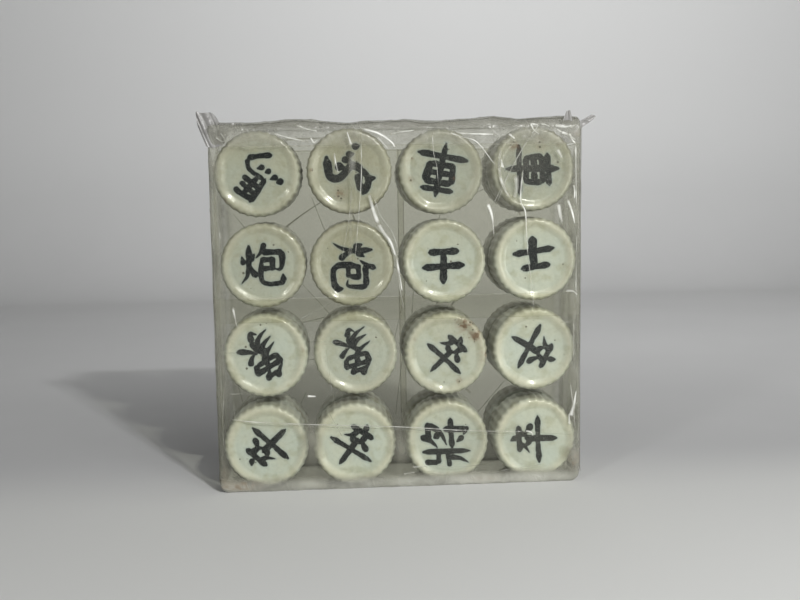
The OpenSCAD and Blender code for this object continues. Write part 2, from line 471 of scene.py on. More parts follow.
@dataclass(frozen=True)
class PorcelainGlaze:
    """Glossy grey-green white glaze with creamy rims, pinholes, iron stains and underglaze marks."""

    name: str
    ink: Colour
    ink_bleed: Colour
    body: Colour = (0.62, 0.66, 0.605)
    cool: Colour = (0.575, 0.645, 0.63)
    cream: Colour = (0.53, 0.515, 0.40)
    rim: Colour = (0.69, 0.685, 0.59)
    # Colour of the painted shade, which darkens some pieces more than others.
    shade: Colour = (0.20, 0.20, 0.165)
    olive: Colour = (0.40, 0.40, 0.28)
    # Colour of dirt and of painted shade in the hollows.
    grime_and_shade: Colour = (0.19, 0.175, 0.13)
    iron: Colour = (0.17, 0.085, 0.04)
    speck: Colour = (0.06, 0.05, 0.032)
    roughness: float = 0.27
    specular: float = 0.42
    coat: float = 0.35
    coat_roughness: float = 0.09
    coat_ior: float = 1.4

    def build(self, effects: Effects) -> Material:
        """Mixes the glaze's colours from the piece's own values and shared patterns.

        Args:
            effects: the shared groups.

        Returns:
            The material.
        """
        material, nodes, output = new_material(self.name)
        broad = effects.patches(nodes, 130.0, 2.2)
        fine = effects.patches(nodes, 700.0, 1.6)
        mottled = effects.patches(nodes, 240.0, 3.0)
        pinholes = effects.dots(nodes, 380.0, 0.20, 0.16)
        grains = effects.dots(nodes, 1100.0, 0.5, 0.55)
        # Dirt and painted shade on the sides, in the flutes and between the pieces.
        grime_and_shade = nodes.maths("MULTIPLY", nodes.value("hollow"), nodes.span(broad, 0.25, 0.75, 0.9, 0.35))
        ground = self.ground(nodes, broad, fine, mottled, grime_and_shade)
        marked, mark = self.marked(nodes, fine, ground)
        colour = self.stained(nodes, fine, pinholes, grains, mark, marked)
        height = nodes.maths("MULTIPLY_ADD", pinholes, -0.6, nodes.maths("MULTIPLY", broad, 0.8))
        height = nodes.maths("MULTIPLY_ADD", fine, 0.12, height)
        bump = nodes.add("Bump", {"Height": height, "Strength": 0.35, "Distance": 0.0006})
        roughness = nodes.maths("MULTIPLY_ADD", fine, 0.10, self.roughness - 0.04)
        roughness = nodes.maths("MULTIPLY_ADD", grime_and_shade, 0.3, roughness)
        shader = nodes.add("BsdfPrincipled", {
            "Base Color": colour,
            "Roughness": roughness,
            "Normal": bump.outputs[0],
            "Specular IOR Level": self.specular,
            "Coat Weight": self.coat,
            "Coat Roughness": self.coat_roughness,
            "Coat IOR": self.coat_ior,
        })
        nodes.tree.links.new(shader.outputs[0], output.inputs[0])
        return material

    def ground(self, nodes: Nodes, broad: Socket, fine: Socket, mottled: Socket, grime_and_shade: Socket) -> Socket:
        """The glaze under the mark: cool patches, cream, the pale rim, olive mottling, painted shade, and
        dirt with painted shade in the hollows.

        Args:
            nodes: the material's nodes.
            broad: mask of wide patches.
            fine: mask of small patches.
            mottled: mask of strong patches.
            grime_and_shade: how dirty each place is, with painted shade on the sides and in the flutes.

        Returns:
            The colour.
        """
        colour = nodes.blend(broad, self.body, self.cool)
        patchy = nodes.span(broad, 0.0, 1.0, 1.15, 0.75)
        cream = nodes.maths("MULTIPLY", nodes.value("cream"), patchy, clamp=True)
        colour = nodes.blend(cream, colour, self.cream)
        rim = nodes.maths("MULTIPLY", nodes.value("rim"), nodes.span(fine, 0.2, 0.8, 0.95, 0.55))
        colour = nodes.blend(rim, colour, self.rim)
        colour = nodes.blend(nodes.span(mottled, 0.5, 1.0, 0.0, 0.42), colour, self.olive)
        # Painted shade: each piece's own share, largest in the upper rows, where less light falls.
        colour = nodes.blend(nodes.value("painted_shade"), colour, self.shade)
        return nodes.blend(grime_and_shade, colour, self.grime_and_shade)

    def marked(self, nodes: Nodes, fine: Socket, colour: Socket) -> tuple[Socket, Socket]:
        """The brushed mark with a ragged edge, and the faint bleed round it.

        Args:
            nodes: the material's nodes.
            fine: mask of small patches, which roughens the edge.
            colour: the glaze under the mark.

        Returns:
            The colour, and how much of each place the ink covers.
        """
        edge = nodes.maths("MULTIPLY_ADD", nodes.maths("SUBTRACT", fine, 0.5), 0.34, nodes.value("ink"))
        bleed = nodes.maths("MULTIPLY", nodes.span(edge, -0.9, 0.05, 0.0, 0.34), nodes.value("inked"))
        colour = nodes.blend(bleed, colour, self.ink_bleed)
        cover = nodes.span(fine, 0.15, 0.45, 0.86, 1.0)
        mark = nodes.maths("MULTIPLY", nodes.span(edge, -0.09, 0.10, 0.0, 1.0), cover)
        return nodes.blend(mark, colour, self.ink), mark

    def stained(self, nodes: Nodes, fine: Socket, pinholes: Socket, grains: Socket, mark: Socket,
                colour: Socket) -> Socket:
        """Iron stains, and dark specks wherever there is no ink.

        Args:
            nodes: the material's nodes.
            fine: mask of small patches.
            pinholes: mask of the scattered pinholes.
            grains: mask of the crowded grains in a stain.
            mark: how much of each place the ink covers.
            colour: the marked glaze.

        Returns:
            The colour.
        """
        stain = nodes.value("stain")
        patchy = nodes.maths("MULTIPLY", stain, nodes.span(fine, 0.3, 0.75, 0.25, 1.0), clamp=True)
        colour = nodes.blend(nodes.maths("MULTIPLY", patchy, 0.85), colour, self.iron)
        dotted = nodes.maths("MULTIPLY", grains, nodes.span(stain, 0.02, 0.4, 0.0, 0.85))
        specks = nodes.maths("MAXIMUM", nodes.maths("MULTIPLY", pinholes, 0.8), dotted)
        bare = nodes.maths("SUBTRACT", 1.0, mark)
        return nodes.blend(nodes.maths("MULTIPLY", specks, bare), colour, self.speck)


@dataclass(frozen=True)
class FilmFinish:
    """Clear packing film: it tints what is seen through it and mirrors light.

    It is hazy where it is folded, white where it is creased, partly as stress-whitened film and partly as
    painted highlight, and brown where old dust lies on it.
    """

    name: str
    tint: Colour
    veil: Colour
    cloudiness: float
    crinkle: float
    rear_tint: Colour = (0.86, 0.86, 0.81)
    # White of the creases: stress-whitened film, and painted highlight.
    crease: Colour = (0.86, 0.87, 0.82)
    dirt: Colour = (0.15, 0.095, 0.045)
    sheen: Colour = (0.9, 0.9, 0.87)
    mirror: float = 0.42
    gloss: float = 0.14
    ior: float = 1.3
    milk_roughness: float = 0.35

    def build(self, effects: Effects) -> Material:
        """Mixes see-through film, its mirror and its milky haze by the sheet's own values.

        Args:
            effects: the shared groups.

        Returns:
            The material.
        """
        material, nodes, output = new_material(self.name)
        clouds = effects.patches(nodes, 60.0, 2.6)
        crinkle = nodes.group(effects.crinkle, {"Vector": nodes.place(), "Scale": 130.0, "Sharpness": 3.0})
        slack, white = nodes.value("slack"), nodes.value("white")
        height = nodes.maths("MULTIPLY", crinkle.outputs["Height"], nodes.maths("ADD", slack, 0.08))
        bump = nodes.add("Bump", {"Height": height, "Strength": self.crinkle, "Distance": 0.0008}).outputs[0]
        tint = nodes.blend(nodes.value("rear"), self.tint, self.rear_tint)
        clear = nodes.add("BsdfTransparent", {"Color": tint}).outputs[0]
        shine = {"Color": (*self.sheen, 1.0), "Roughness": self.gloss, "Normal": bump}
        mirror = nodes.add("BsdfGlossy", shine)
        fresnel = nodes.add("Fresnel", {"IOR": self.ior, "Normal": bump}).outputs[0]
        mirrored = nodes.maths("MULTIPLY", fresnel, self.mirror)
        sheet = nodes.add("MixShader", {0: mirrored, 1: clear, 2: mirror.outputs[0]}).outputs[0]
        dirt = nodes.value("dirt")
        milky = nodes.blend(dirt, nodes.blend(white, self.veil, self.crease), self.dirt)
        matt = {"Base Color": milky, "Roughness": self.milk_roughness, "Normal": bump}
        milk = nodes.add("BsdfPrincipled", matt)
        glint = nodes.maths("MULTIPLY", crinkle.outputs["Mask"], nodes.maths("MULTIPLY", slack, 0.12))
        patchy = nodes.maths("MULTIPLY", nodes.value("veil"), nodes.span(clouds, 0.1, 0.9, 0.6, 1.4))
        haze = nodes.maths("MULTIPLY_ADD", clouds, self.cloudiness, nodes.maths("ADD", patchy, glint))
        haze = nodes.maths("MULTIPLY_ADD", dirt, 0.75, haze)
        covered = nodes.maths("ADD", haze, white, clamp=True)
        mixed = nodes.add("MixShader", {0: covered, 1: sheet, 2: milk.outputs[0]})
        nodes.tree.links.new(mixed.outputs[0], output.inputs[0])
        return material


@dataclass(frozen=True)
class PaperFinish:
    """Matt pale paper of the floor and backdrop."""

    name: str = "backdrop_paper"
    floor: Colour = (0.595, 0.597, 0.593)
    dark: Colour = (0.545, 0.547, 0.545)
    # Painted pool of light on the floor just before the pack.
    near: Colour = (0.66, 0.663, 0.645)
    wall: Colour = (0.68, 0.683, 0.678)
    roughness: float = 0.85
    specular: float = 0.2

    def build(self, effects: Effects) -> Material:
        """Paper with faint patches, lighter where it hangs upright, and with a painted pool of light on the
        floor before the pack.

        Args:
            effects: the shared groups.

        Returns:
            The material.
        """
        material, nodes, output = new_material(self.name)
        patches = effects.patches(nodes, 6.0, 1.4)
        axes = nodes.add("SeparateXYZ", {0: nodes.place()}).outputs
        upright = nodes.span(axes[2], 0.0, 0.2, 0.0, 1.0)
        # Painted light: the floor before the pack turns to the lighter near colour.
        before = nodes.span(axes[1], 0.03, -0.03, 0.0, 1.0)
        level = nodes.blend(before, nodes.blend(patches, self.floor, self.dark), self.near)
        colour = nodes.blend(upright, level, self.wall)
        look = {"Base Color": colour, "Roughness": self.roughness, "Specular IOR Level": self.specular}
        shader = nodes.add("BsdfPrincipled", look)
        nodes.tree.links.new(shader.outputs[0], output.inputs[0])
        return material


class Brush(Enum):
    """How a brush stroke swells and thins along its way."""

    BAR = "bar"
    STEM = "stem"
    SWEEP = "sweep"
    PRESS = "press"
    DOT = "dot"

    def breadth(self, share: Array) -> Array:
        """Half width along the stroke, as a share of the brush's own.

        Every stroke starts and ends narrow. A bar is pressed near both ends, a stem thins a little, a
        sweep runs out to a point, a press swells and then runs out, and a dot grows like a drop.

        Args:
            share: places along the stroke, from 0 to 1.

        Returns:
            The half width at each place.
        """
        entry = np.minimum(1.0, 0.40 + 5.0 * share)
        leave = np.minimum(1.0, 0.30 + 5.5 * (1.0 - share))
        if self is Brush.BAR:
            return (0.82 + 0.42 * (2.0 * share - 1.0) ** 2) * entry * leave
        if self is Brush.STEM:
            return (1.12 - 0.22 * share) * entry * leave
        if self is Brush.SWEEP:
            return (0.06 + 1.08 * (1.0 - share) ** 0.65) * entry
        if self is Brush.PRESS:
            return (0.35 + 0.95 * share) * np.minimum(1.0, (1.0 - share) / 0.22) ** 0.6
        return (0.22 + 0.98 * share**0.8) * leave


BAR, STEM, SWEEP, PRESS, DOT = Brush
# How far a hand strays, as a share of half the mark's height: a whole stroke, and one point of it.
STROKE_SHIFT = 0.022
POINT_SHIFT = 0.012


class Rank(Enum):
    """The game's plain rank marks: the brush's half width, and its strokes in a square from -1 to 1."""

    HORSE = 0.116, (
        (STEM, ((-0.58, 0.96), (-0.50, 0.40), (-0.42, -0.14))),
        (BAR, ((-0.60, 0.90), (-0.20, 1.02), (0.20, 1.06))),
        (BAR, ((-0.50, 0.66), (0.20, 0.70))),
        (BAR, ((-0.46, 0.34), (0.30, 0.42))),
        (STEM, ((-0.14, 0.92), (-0.12, 0.04))),
        (BAR, ((-0.44, -0.06), (0.28, 0.02), (0.62, -0.24))),
        (BAR, ((0.68, -0.26), (0.42, -0.58), (0.10, -0.96))),
        (DOT, ((0.10, -0.22), (-0.02, -0.42))),
        (DOT, ((-0.24, -0.30), (-0.32, -0.44))),
        (DOT, ((-0.54, -0.26), (-0.66, -0.48))),
        (DOT, ((-0.88, -0.30), (-0.98, -0.50))),
    )
    RUNNING_HORSE = 0.150, (
        (STEM, ((-0.94, 0.50), (-0.88, 0.10), (-0.76, -0.28), (-0.40, -0.30), (-0.04, 0.10),
                (0.14, 0.28))),
        (BAR, ((0.10, 0.28), (0.44, 0.06), (0.74, -0.28), (0.72, -0.60), (0.52, -0.92))),
        (DOT, ((1.04, -0.34), (0.72, -0.36))),
        (BAR, ((0.30, -0.20), (0.34, -0.52), (0.46, -0.66))),
        (DOT, ((0.36, 0.94), (0.18, 0.92))),
        (DOT, ((0.16, 0.68), (-0.04, 0.66))),
        (DOT, ((0.00, 0.40), (-0.24, 0.42))),
        (DOT, ((-0.20, 0.12), (-0.48, 0.16))),
    )
    CHARIOT = 0.126, (
        (BAR, ((-0.58, 0.64), (0.60, 0.70))),
        (STEM, ((-0.48, 0.40), (-0.42, -0.26))),
        (BAR, ((-0.48, 0.38), (0.48, 0.42))),
        (STEM, ((0.48, 0.42), (0.42, -0.24))),
        (BAR, ((-0.42, 0.08), (0.42, 0.11))),
        (BAR, ((-0.42, -0.24), (0.42, -0.22))),
        (BAR, ((-0.90, -0.54), (0.92, -0.48))),
        (STEM, ((0.0, 1.0), (0.02, 0.0), (0.0, -1.0))),
    )
    CANNON = 0.130, (
        (DOT, ((-0.92, 0.42), (-0.82, 0.12))),
        (DOT, ((-0.34, 0.52), (-0.48, 0.24))),
        (SWEEP, ((-0.62, 0.86), (-0.60, 0.10), (-0.72, -0.45), (-0.98, -0.82))),
        (PRESS, ((-0.60, 0.02), (-0.46, -0.28), (-0.30, -0.48))),
        (SWEEP, ((0.12, 0.95), (0.00, 0.62), (-0.24, 0.32))),
        (BAR, ((0.02, 0.60), (0.84, 0.62))),
        (SWEEP, ((0.84, 0.62), (0.86, 0.20), (0.78, -0.16), (0.52, -0.16))),
        (BAR, ((-0.02, 0.26), (0.46, 0.27))),
        (STEM, ((0.46, 0.27), (0.44, -0.12))),
        (BAR, ((-0.02, -0.12), (0.46, -0.10))),
        (BAR, ((-0.02, 0.26), (-0.05, -0.50), (0.14, -0.80), (0.72, -0.80), (0.94, -0.66))),
        (SWEEP, ((0.94, -0.68), (0.92, -0.38))),
    )
    GUARD = 0.175, (
        (BAR, ((-0.92, 0.22), (0.0, 0.28), (0.94, 0.32))),
        (STEM, ((0.02, 0.96), (0.0, 0.20), (0.0, -0.42))),
        (BAR, ((-0.64, -0.46), (0.66, -0.40))),
    )
    COURT_GUARD = 0.125, (
        (SWEEP, ((-0.40, 0.94), (-0.60, 0.42), (-0.98, 0.02))),
        (STEM, ((-0.62, 0.38), (-0.62, -0.92))),
        (BAR, ((-0.28, 0.24), (0.94, 0.30))),
        (STEM, ((0.34, 0.90), (0.33, -0.70))),
        (BAR, ((-0.12, -0.74), (0.80, -0.70))),
    )
    ELEPHANT = 0.124, (
        (SWEEP, ((-0.08, 1.0), (-0.26, 0.78), (-0.54, 0.58))),
        (BAR, ((-0.20, 0.82), (0.34, 0.84))),
        (SWEEP, ((0.34, 0.84), (0.12, 0.58))),
        (STEM, ((-0.50, 0.55), (-0.46, 0.22))),
        (BAR, ((-0.50, 0.54), (0.54, 0.56))),
        (STEM, ((0.54, 0.56), (0.46, 0.24))),
        (STEM, ((0.0, 0.55), (0.0, 0.22))),
        (BAR, ((-0.46, 0.20), (0.46, 0.22))),
        (SWEEP, ((0.0, 0.20), (-0.25, -0.05), (-0.72, -0.26))),
        (BAR, ((-0.24, -0.04), (0.08, -0.30), (0.14, -0.70))),
        (SWEEP, ((0.14, -0.70), (0.0, -0.98), (-0.20, -0.84))),
        (SWEEP, ((0.0, -0.22), (-0.25, -0.42), (-0.68, -0.56))),
        (SWEEP, ((0.08, -0.45), (-0.20, -0.70), (-0.66, -0.90))),
        (SWEEP, ((0.66, 0.08), (0.46, -0.12), (0.20, -0.26))),
        (PRESS, ((0.18, -0.24), (0.42, -0.50), (0.82, -0.72))),
    )
    COURT_ELEPHANT = 0.115, (
        (BAR, ((-0.94, 0.40), (-0.16, 0.45))),
        (STEM, ((-0.55, 0.96), (-0.55, -0.95))),
        (SWEEP, ((-0.55, 0.38), (-0.70, 0.0), (-0.98, -0.34))),
        (PRESS, ((-0.52, 0.26), (-0.34, 0.04), (-0.18, -0.08))),
        (STEM, ((0.06, 0.74), (0.06, -0.80))),
        (BAR, ((0.06, 0.72), (0.82, 0.75))),
        (STEM, ((0.82, 0.75), (0.80, -0.80))),
        (BAR, ((0.08, 0.25), (0.78, 0.27))),
        (BAR, ((0.08, -0.22), (0.78, -0.21))),
        (BAR, ((0.08, -0.72), (0.78, -0.71))),
    )
    SOLDIER = 0.130, (
        (DOT, ((-0.06, 1.02), (0.06, 0.82))),
        (BAR, ((-0.50, 0.66), (0.56, 0.72))),
        (SWEEP, ((-0.22, 0.62), (-0.32, 0.38), (-0.62, 0.16))),
        (PRESS, ((-0.32, 0.42), (-0.20, 0.26), (-0.06, 0.16))),
        (SWEEP, ((0.26, 0.62), (0.18, 0.36), (0.04, 0.18))),
        (PRESS, ((0.22, 0.42), (0.38, 0.24), (0.62, 0.10))),
        (BAR, ((-1.0, -0.26), (0.0, -0.22), (1.02, -0.20))),
        (STEM, ((0.02, 0.30), (0.0, -0.30), (-0.02, -1.06))),
    )
    FOOTMAN = 0.125, (
        (SWEEP, ((0.36, 0.95), (0.0, 0.80), (-0.44, 0.70))),
        (STEM, ((-0.42, 0.70), (-0.42, -0.20))),
        (BAR, ((-0.42, 0.34), (0.62, 0.38))),
        (STEM, ((0.22, 0.36), (0.22, -0.18))),
        (BAR, ((-0.94, -0.24), (0.94, -0.19))),
        (SWEEP, ((-0.22, -0.42), (-0.44, -0.72), (-0.78, -0.96))),
        (PRESS, ((0.24, -0.42), (0.48, -0.66), (0.78, -0.94))),
    )
    GENERAL = 0.125, (
        (STEM, ((-0.42, 0.94), (-0.42, -0.96))),
        (STEM, ((-0.84, 0.82), (-0.82, 0.32))),
        (BAR, ((-0.84, 0.30), (-0.42, 0.33))),
        (BAR, ((-0.96, -0.12), (-0.42, -0.08))),
        (SWEEP, ((-0.68, -0.14), (-0.74, -0.55), (-0.94, -0.90))),
        (SWEEP, ((0.26, 1.0), (0.08, 0.62), (-0.22, 0.34))),
        (BAR, ((0.14, 0.74), (0.74, 0.78))),
        (SWEEP, ((0.74, 0.76), (0.42, 0.28), (-0.14, -0.02))),
        (DOT, ((0.08, 0.52), (0.22, 0.38))),
        (BAR, ((-0.24, -0.24), (0.94, -0.18))),
        (STEM, ((0.54, 0.08), (0.54, -0.86))),
        (SWEEP, ((0.54, -0.88), (0.26, -0.72))),
        (DOT, ((0.02, -0.44), (0.18, -0.64))),
    )
    MARSHAL = 0.115, (
        (SWEEP, ((-0.52, 0.96), (-0.70, 0.68))),
        (STEM, ((-0.80, 0.66), (-0.80, -0.66))),
        (BAR, ((-0.80, 0.62), (-0.30, 0.64))),
        (STEM, ((-0.30, 0.64), (-0.32, 0.14))),
        (BAR, ((-0.80, 0.12), (-0.32, 0.14))),
        (BAR, ((-0.80, -0.16), (-0.28, -0.14))),
        (STEM, ((-0.28, -0.14), (-0.30, -0.60))),
        (BAR, ((-0.80, -0.62), (-0.30, -0.60))),
        (STEM, ((0.04, 0.42), (0.04, -0.48))),
        (BAR, ((0.04, 0.40), (0.88, 0.44))),
        (STEM, ((0.88, 0.44), (0.86, -0.36))),
        (SWEEP, ((0.86, -0.36), (0.66, -0.28))),
        (STEM, ((0.46, 0.94), (0.46, -1.0))),
    )

    def ink_edge(self, across: Array, up: Array, size: float, hand: np.random.Generator) -> Array:
        """How far inside the nearest stroke each place lies, in millimetres, less than 0 outside.

        Each stroke is a chain of short straight runs. A place's value is the half width at the nearest
        point of a run less its distance to it, and the largest value over all runs counts.

        Args:
            across: places to the right of the mark's middle, in millimetres.
            up: places above it.
            size: half the mark's height, in millimetres.
            hand: shifts each stroke a little, as a hand does.

        Returns:
            One value for each place.
        """
        weight, strokes = self.value
        inside = np.full(across.shape, -np.inf)
        for brush, route in strokes:
            moved = np.array(route) + hand.normal(0.0, STROKE_SHIFT, 2)
            moved = moved + hand.normal(0.0, POINT_SHIFT, (len(route), 2))
            path = along(moved, 6 * len(route)) * size
            swell = brush.breadth(np.linspace(0.0, 1.0, len(path)))
            breadth = swell * weight * size * hand.uniform(0.9, 1.15)
            for start, stop, wide, thin in zip(path, path[1:], breadth, breadth[1:]):
                run = stop - start
                share = ((across - start[0]) * run[0] + (up - start[1]) * run[1]) / (run @ run)
                share = np.clip(share, 0.0, 1.0)
                away = np.hypot(across - start[0] - share * run[0], up - start[1] - share * run[1])
                inside = np.maximum(inside, wide + (thin - wide) * share - away)
        return inside


@dataclass(frozen=True)
class Stain:
    """A rusty or dark patch on a face: its place from the middle, its radius and its strength."""

    across: float
    up: float
    radius: float
    strength: float = 0.8


@dataclass(frozen=True)
class Look:
    """What tells one piece from another: its rank, the mark's turn and size, its tones, its stains and its
    painted shade.

    The turn is in degrees clockwise, and the size is half the mark's height.
    """

    rank: Rank
    turn: float
    cream: float = 0.15
    stains: tuple[Stain, ...] = ()
    size: float = 7.6
    # Share of painted shade, largest in the upper rows, where less light falls.
    painted_shade: float = 0.2


# The last number of each front look is its share of painted shade.
FRONT_LOOKS = (
    Look(Rank.HORSE, 225, 0.42, (Stain(-10.6, -8.6, 0.6), Stain(-1.8, 13.0, 0.5, 0.6)), 8.2, 0.43),
    Look(Rank.RUNNING_HORSE, 0, 0.75, (Stain(-3.1, -7.6, 1.7, 1.0), Stain(-12.8, 0.4, 0.6)), 8.4, 0.47),
    Look(Rank.CHARIOT, 193, 0.34, (Stain(-10.2, -2.6, 0.9, 1.0), Stain(-9.8, 4.6, 0.5),
                                   Stain(4.6, -2.2, 0.6, 0.5)), 9.2, 0.47),
    Look(Rank.CHARIOT, 90, 0.40, (Stain(-6.2, 7.6, 1.5, 1.1), Stain(2.4, 8.4, 1.8, 0.5),
                                  Stain(8.6, 8.0, 0.5)), 9.0, 0.47),
    Look(Rank.CANNON, 0, 0.30, (), 7.8, 0.38),
    Look(Rank.CANNON, 90, 0.72, (Stain(-9.0, -6.0, 0.4, 0.5),), 8.0, 0.47),
    Look(Rank.GUARD, 180, 0.20, (), 7.6, 0.24),
    Look(Rank.GUARD, -5, 0.14, (Stain(11.0, 3.0, 0.4, 0.4),), 7.4, 0.21),
    Look(Rank.ELEPHANT, 150, 0.16, (Stain(12.6, 2.0, 0.9, 0.6),), 8.4, 0.11),
    Look(Rank.ELEPHANT, 165, 0.26, (), 8.0, 0.3),
    Look(Rank.SOLDIER, 45, 0.26, (Stain(6.4, 10.0, 2.6, 1.3), Stain(10.4, 6.4, 2.2, 1.5),
                                  Stain(13.4, -0.8, 2.4, 0.6), Stain(4.6, -9.4, 1.1, 1.1),
                                  Stain(-10.8, 5.4, 0.8), Stain(-4.4, -3.2, 0.4)), 7.6, 0.21),
    Look(Rank.SOLDIER, 120, 0.12, (), 8.2, 0.16),
    Look(Rank.SOLDIER, 225, 0.14, (Stain(-9.0, -10.6, 0.7, 0.5),), 8.0, 0.0),
    Look(Rank.SOLDIER, 35, 0.18, (), 8.0, 0.0),
    Look(Rank.GENERAL, -90, 0.14, (Stain(-11.0, -7.5, 0.6, 0.4),), 8.6, 0.09),
    Look(Rank.SOLDIER, -90, 0.14, (), 8.2, 0.0),
)
BACK_LOOKS = (
    Look(Rank.CHARIOT, -20, 0.20),
    Look(Rank.HORSE, 70, 0.30, (Stain(7.0, 6.0, 0.8),)),
    Look(Rank.HORSE, 190, 0.18),
    Look(Rank.CHARIOT, 95, 0.55, (Stain(-9.0, 4.0, 1.0),)),
    Look(Rank.CANNON, 15, 0.22),
    Look(Rank.COURT_GUARD, -60, 0.35),
    Look(Rank.COURT_GUARD, 165, 0.16, (Stain(3.0, -10.0, 0.9, 0.6),)),
    Look(Rank.CANNON, 240, 0.24),
    Look(Rank.COURT_ELEPHANT, 10, 0.18),
    Look(Rank.FOOTMAN, -35, 0.60, (Stain(10.0, -5.0, 0.7),)),
    Look(Rank.FOOTMAN, 130, 0.16),
    Look(Rank.COURT_ELEPHANT, 205, 0.28),
    Look(Rank.FOOTMAN, 80, 0.20, (Stain(-8.0, -8.0, 0.8, 0.6),)),
    Look(Rank.MARSHAL, -8, 0.20),
    Look(Rank.FOOTMAN, 215, 0.34),
    Look(Rank.FOOTMAN, 5, 0.18),
)

# The ink's value where no stroke is near.
NO_INK = -3.0


@dataclass
class PlayingPiece:
    """One glazed piece, thrown a little unevenly, in the place of its CAD node."""

    node: str
    look: Look
    seed: int
    faces_front: bool
    flutes: int = 32
    flute_depth: float = 0.15
    flute_wander: float = 0.30
    ovalness: float = 0.07
    dish_wander: float = 0.42
    lip_in: float = 1.9
    lip_w: float = 1.5
    mark_reach: float = 12.4
    # Share of cream added as painted shade towards the top of each face.
    top_shade: float = 0.26
    around: int = 192
    floor_rings: int = 40
    slope_rings: int = 12
    hub_r: float = 0.24
    floor_r: float = 10.2
    rim_w: float = 1.75
    edge_r: float = 1.6
    dish_depth: float = 0.9
    sag: float = 0.25
    foot_r: float = 10.0
    foot_depth: float = 0.5
    crown: float = 0.2

    def __post_init__(self) -> None:
        """Reads the piece's middle, radius and thickness from its CAD box."""
        low, high = box_mm(self.node)
        self.radius = (high[2] - low[2]) / 2
        self.thickness = high[1] - low[1]
        foot_y = high[1] if self.faces_front else low[1]
        self.middle = np.array([(low[0] + high[0]) / 2, foot_y, (low[2] + high[2]) / 2])
        self.hand = np.random.default_rng(self.seed)

    def profile(self) -> tuple[Array, Array]:
        """Radius and height of each ring, from the dish over the rim and side to the recess in the foot.

        The dish is a floor that sags as a parabola, with an s-curve up to the rim. The edges are quarter
        circles, and the side bulges as a parabola.

        Returns:
            The radii and the heights.
        """
        lip = self.radius - self.edge_r
        floor = self.thickness - self.dish_depth
        flat = np.linspace(self.hub_r, self.floor_r, self.floor_rings)
        slope = np.linspace(self.floor_r, self.radius - self.rim_w, self.slope_rings + 1)[1:]
        edge = np.linspace(0.0, math.pi / 2, 8)
        side = np.linspace(self.thickness - self.edge_r, self.edge_r, 10)[1:-1]
        bulge = self.crown * ((2.0 * side / self.thickness - 1.0) ** 2)
        inset = self.crown * ((2.0 * (self.thickness - self.edge_r) / self.thickness - 1.0) ** 2)
        foot = np.linspace(lip, self.foot_r, 4)[1:]
        recess = np.array([self.foot_r - 0.3, 7.0, 3.5, 0.8])
        radii = [flat, slope, lip - inset + self.edge_r * np.sin(edge),
                 self.radius - bulge, lip - inset + self.edge_r * np.cos(edge), foot, recess]
        heights = [floor - self.sag * (1.0 - (flat / self.floor_r) ** 2),
                   floor + self.dish_depth * smoothstep(slope, self.floor_r, self.radius - self.rim_w),
                   self.thickness - self.edge_r * (1.0 - np.cos(edge)), side,
                   self.edge_r * (1.0 - np.sin(edge)), np.zeros_like(foot),
                   np.full_like(recess, self.foot_depth)]
        return np.concatenate(radii), np.concatenate(heights)

    def surface(self) -> Surface:
        """The piece as rings round its axis.

        Each ring's radius loses the flutes, which are the absolute value of a cosine with uneven depth,
        and a little ovalness. The rim's height rises and falls by slow waves.

        Returns:
            The surface in its place, with the values that its glaze reads.
        """
        ring_r, ring_h = self.profile()
        angle = np.linspace(0.0, 2.0 * math.pi, self.around, endpoint=False)
        circle = np.stack([np.cos(angle), np.sin(angle), np.zeros_like(angle)], axis=-1)
        uneven = lattice_noise(circle * 2.6, self.seed) * 0.5 + 0.5
        wander = lattice_noise(circle * 1.7, self.seed + 3) * 0.03
        phase = self.hand.uniform(0.0, math.pi)
        flute = np.abs(np.cos(self.flutes / 2 * (angle + wander) + phase))
        outer = smoothstep(ring_r, self.radius - 2.4, self.radius - 0.6)[:, None]
        depth = self.flute_depth + self.flute_wander * uneven
        oval = self.ovalness * (1.0 + np.cos(2.0 * angle + self.hand.uniform(0.0, 6.0))) / 2.0
        inner = smoothstep(ring_r, 7.5, 10.5)[:, None] * (1.0 - outer)
        radius = ring_r[:, None] - outer * (depth * flute + oval)
        radius = radius + self.dish_wander * inner * lattice_noise(circle * 2.1, self.seed + 7)
        on_face = (ring_h > self.thickness / 2)[:, None]
        lip = np.exp(-(((ring_r - self.radius + self.lip_in) / self.lip_w) ** 2))[:, None] * on_face
        wave = 0.05 * np.cos(3.0 * angle + phase) + 0.15 * lattice_noise(circle * 1.9, self.seed + 5)
        height = ring_h[:, None] + lip * (wave - 0.10) + np.zeros(self.around)
        across, up = radius * np.cos(angle), radius * np.sin(angle)
        spot = np.stack([across, up, height], axis=-1)
        height = height + 0.035 * lattice_noise(spot / 3.2, self.seed + 9) * on_face
        points = np.stack([across, up, height], axis=-1).reshape(-1, 3)
        values = self.glaze_values(ring_r, across, up, lip, outer, flute, on_face)
        poles = np.array([[0.0, 0.0, height[0].mean()], [0.0, 0.0, self.foot_depth]])
        ends = {"cream": self.look.cream, "painted_shade": self.look.painted_shade, "rim": 0.0, "hollow": 0.0,
                "ink": values["ink"][0].max(), "inked": 1.0, "stain": 0.0}
        flat = {name: np.append(np.broadcast_to(value, across.shape).ravel(), [ends[name]] * 2)
                for name, value in values.items()}
        flat["inked"][-1] = 0.0
        return Surface(self.placed(np.vstack([points, poles])), grid_faces(len(ring_r), self.around, True),
                       self.pole_faces(len(ring_r)), flat)

    def pole_faces(self, rings: int) -> Array:
        """Triangles that close the first ring and the last one on their middles.

        Args:
            rings: how many rings there are; the two middles are numbered after their points.

        Returns:
            The triangles, those of the face first.
        """
        here = np.arange(self.around)
        beside = (here + 1) % self.around
        face = np.stack([np.full(self.around, rings * self.around), here, beside], axis=-1)
        last = (rings - 1) * self.around
        foot = np.stack([np.full(self.around, rings * self.around + 1), last + beside, last + here], axis=-1)
        return np.vstack([face, foot])

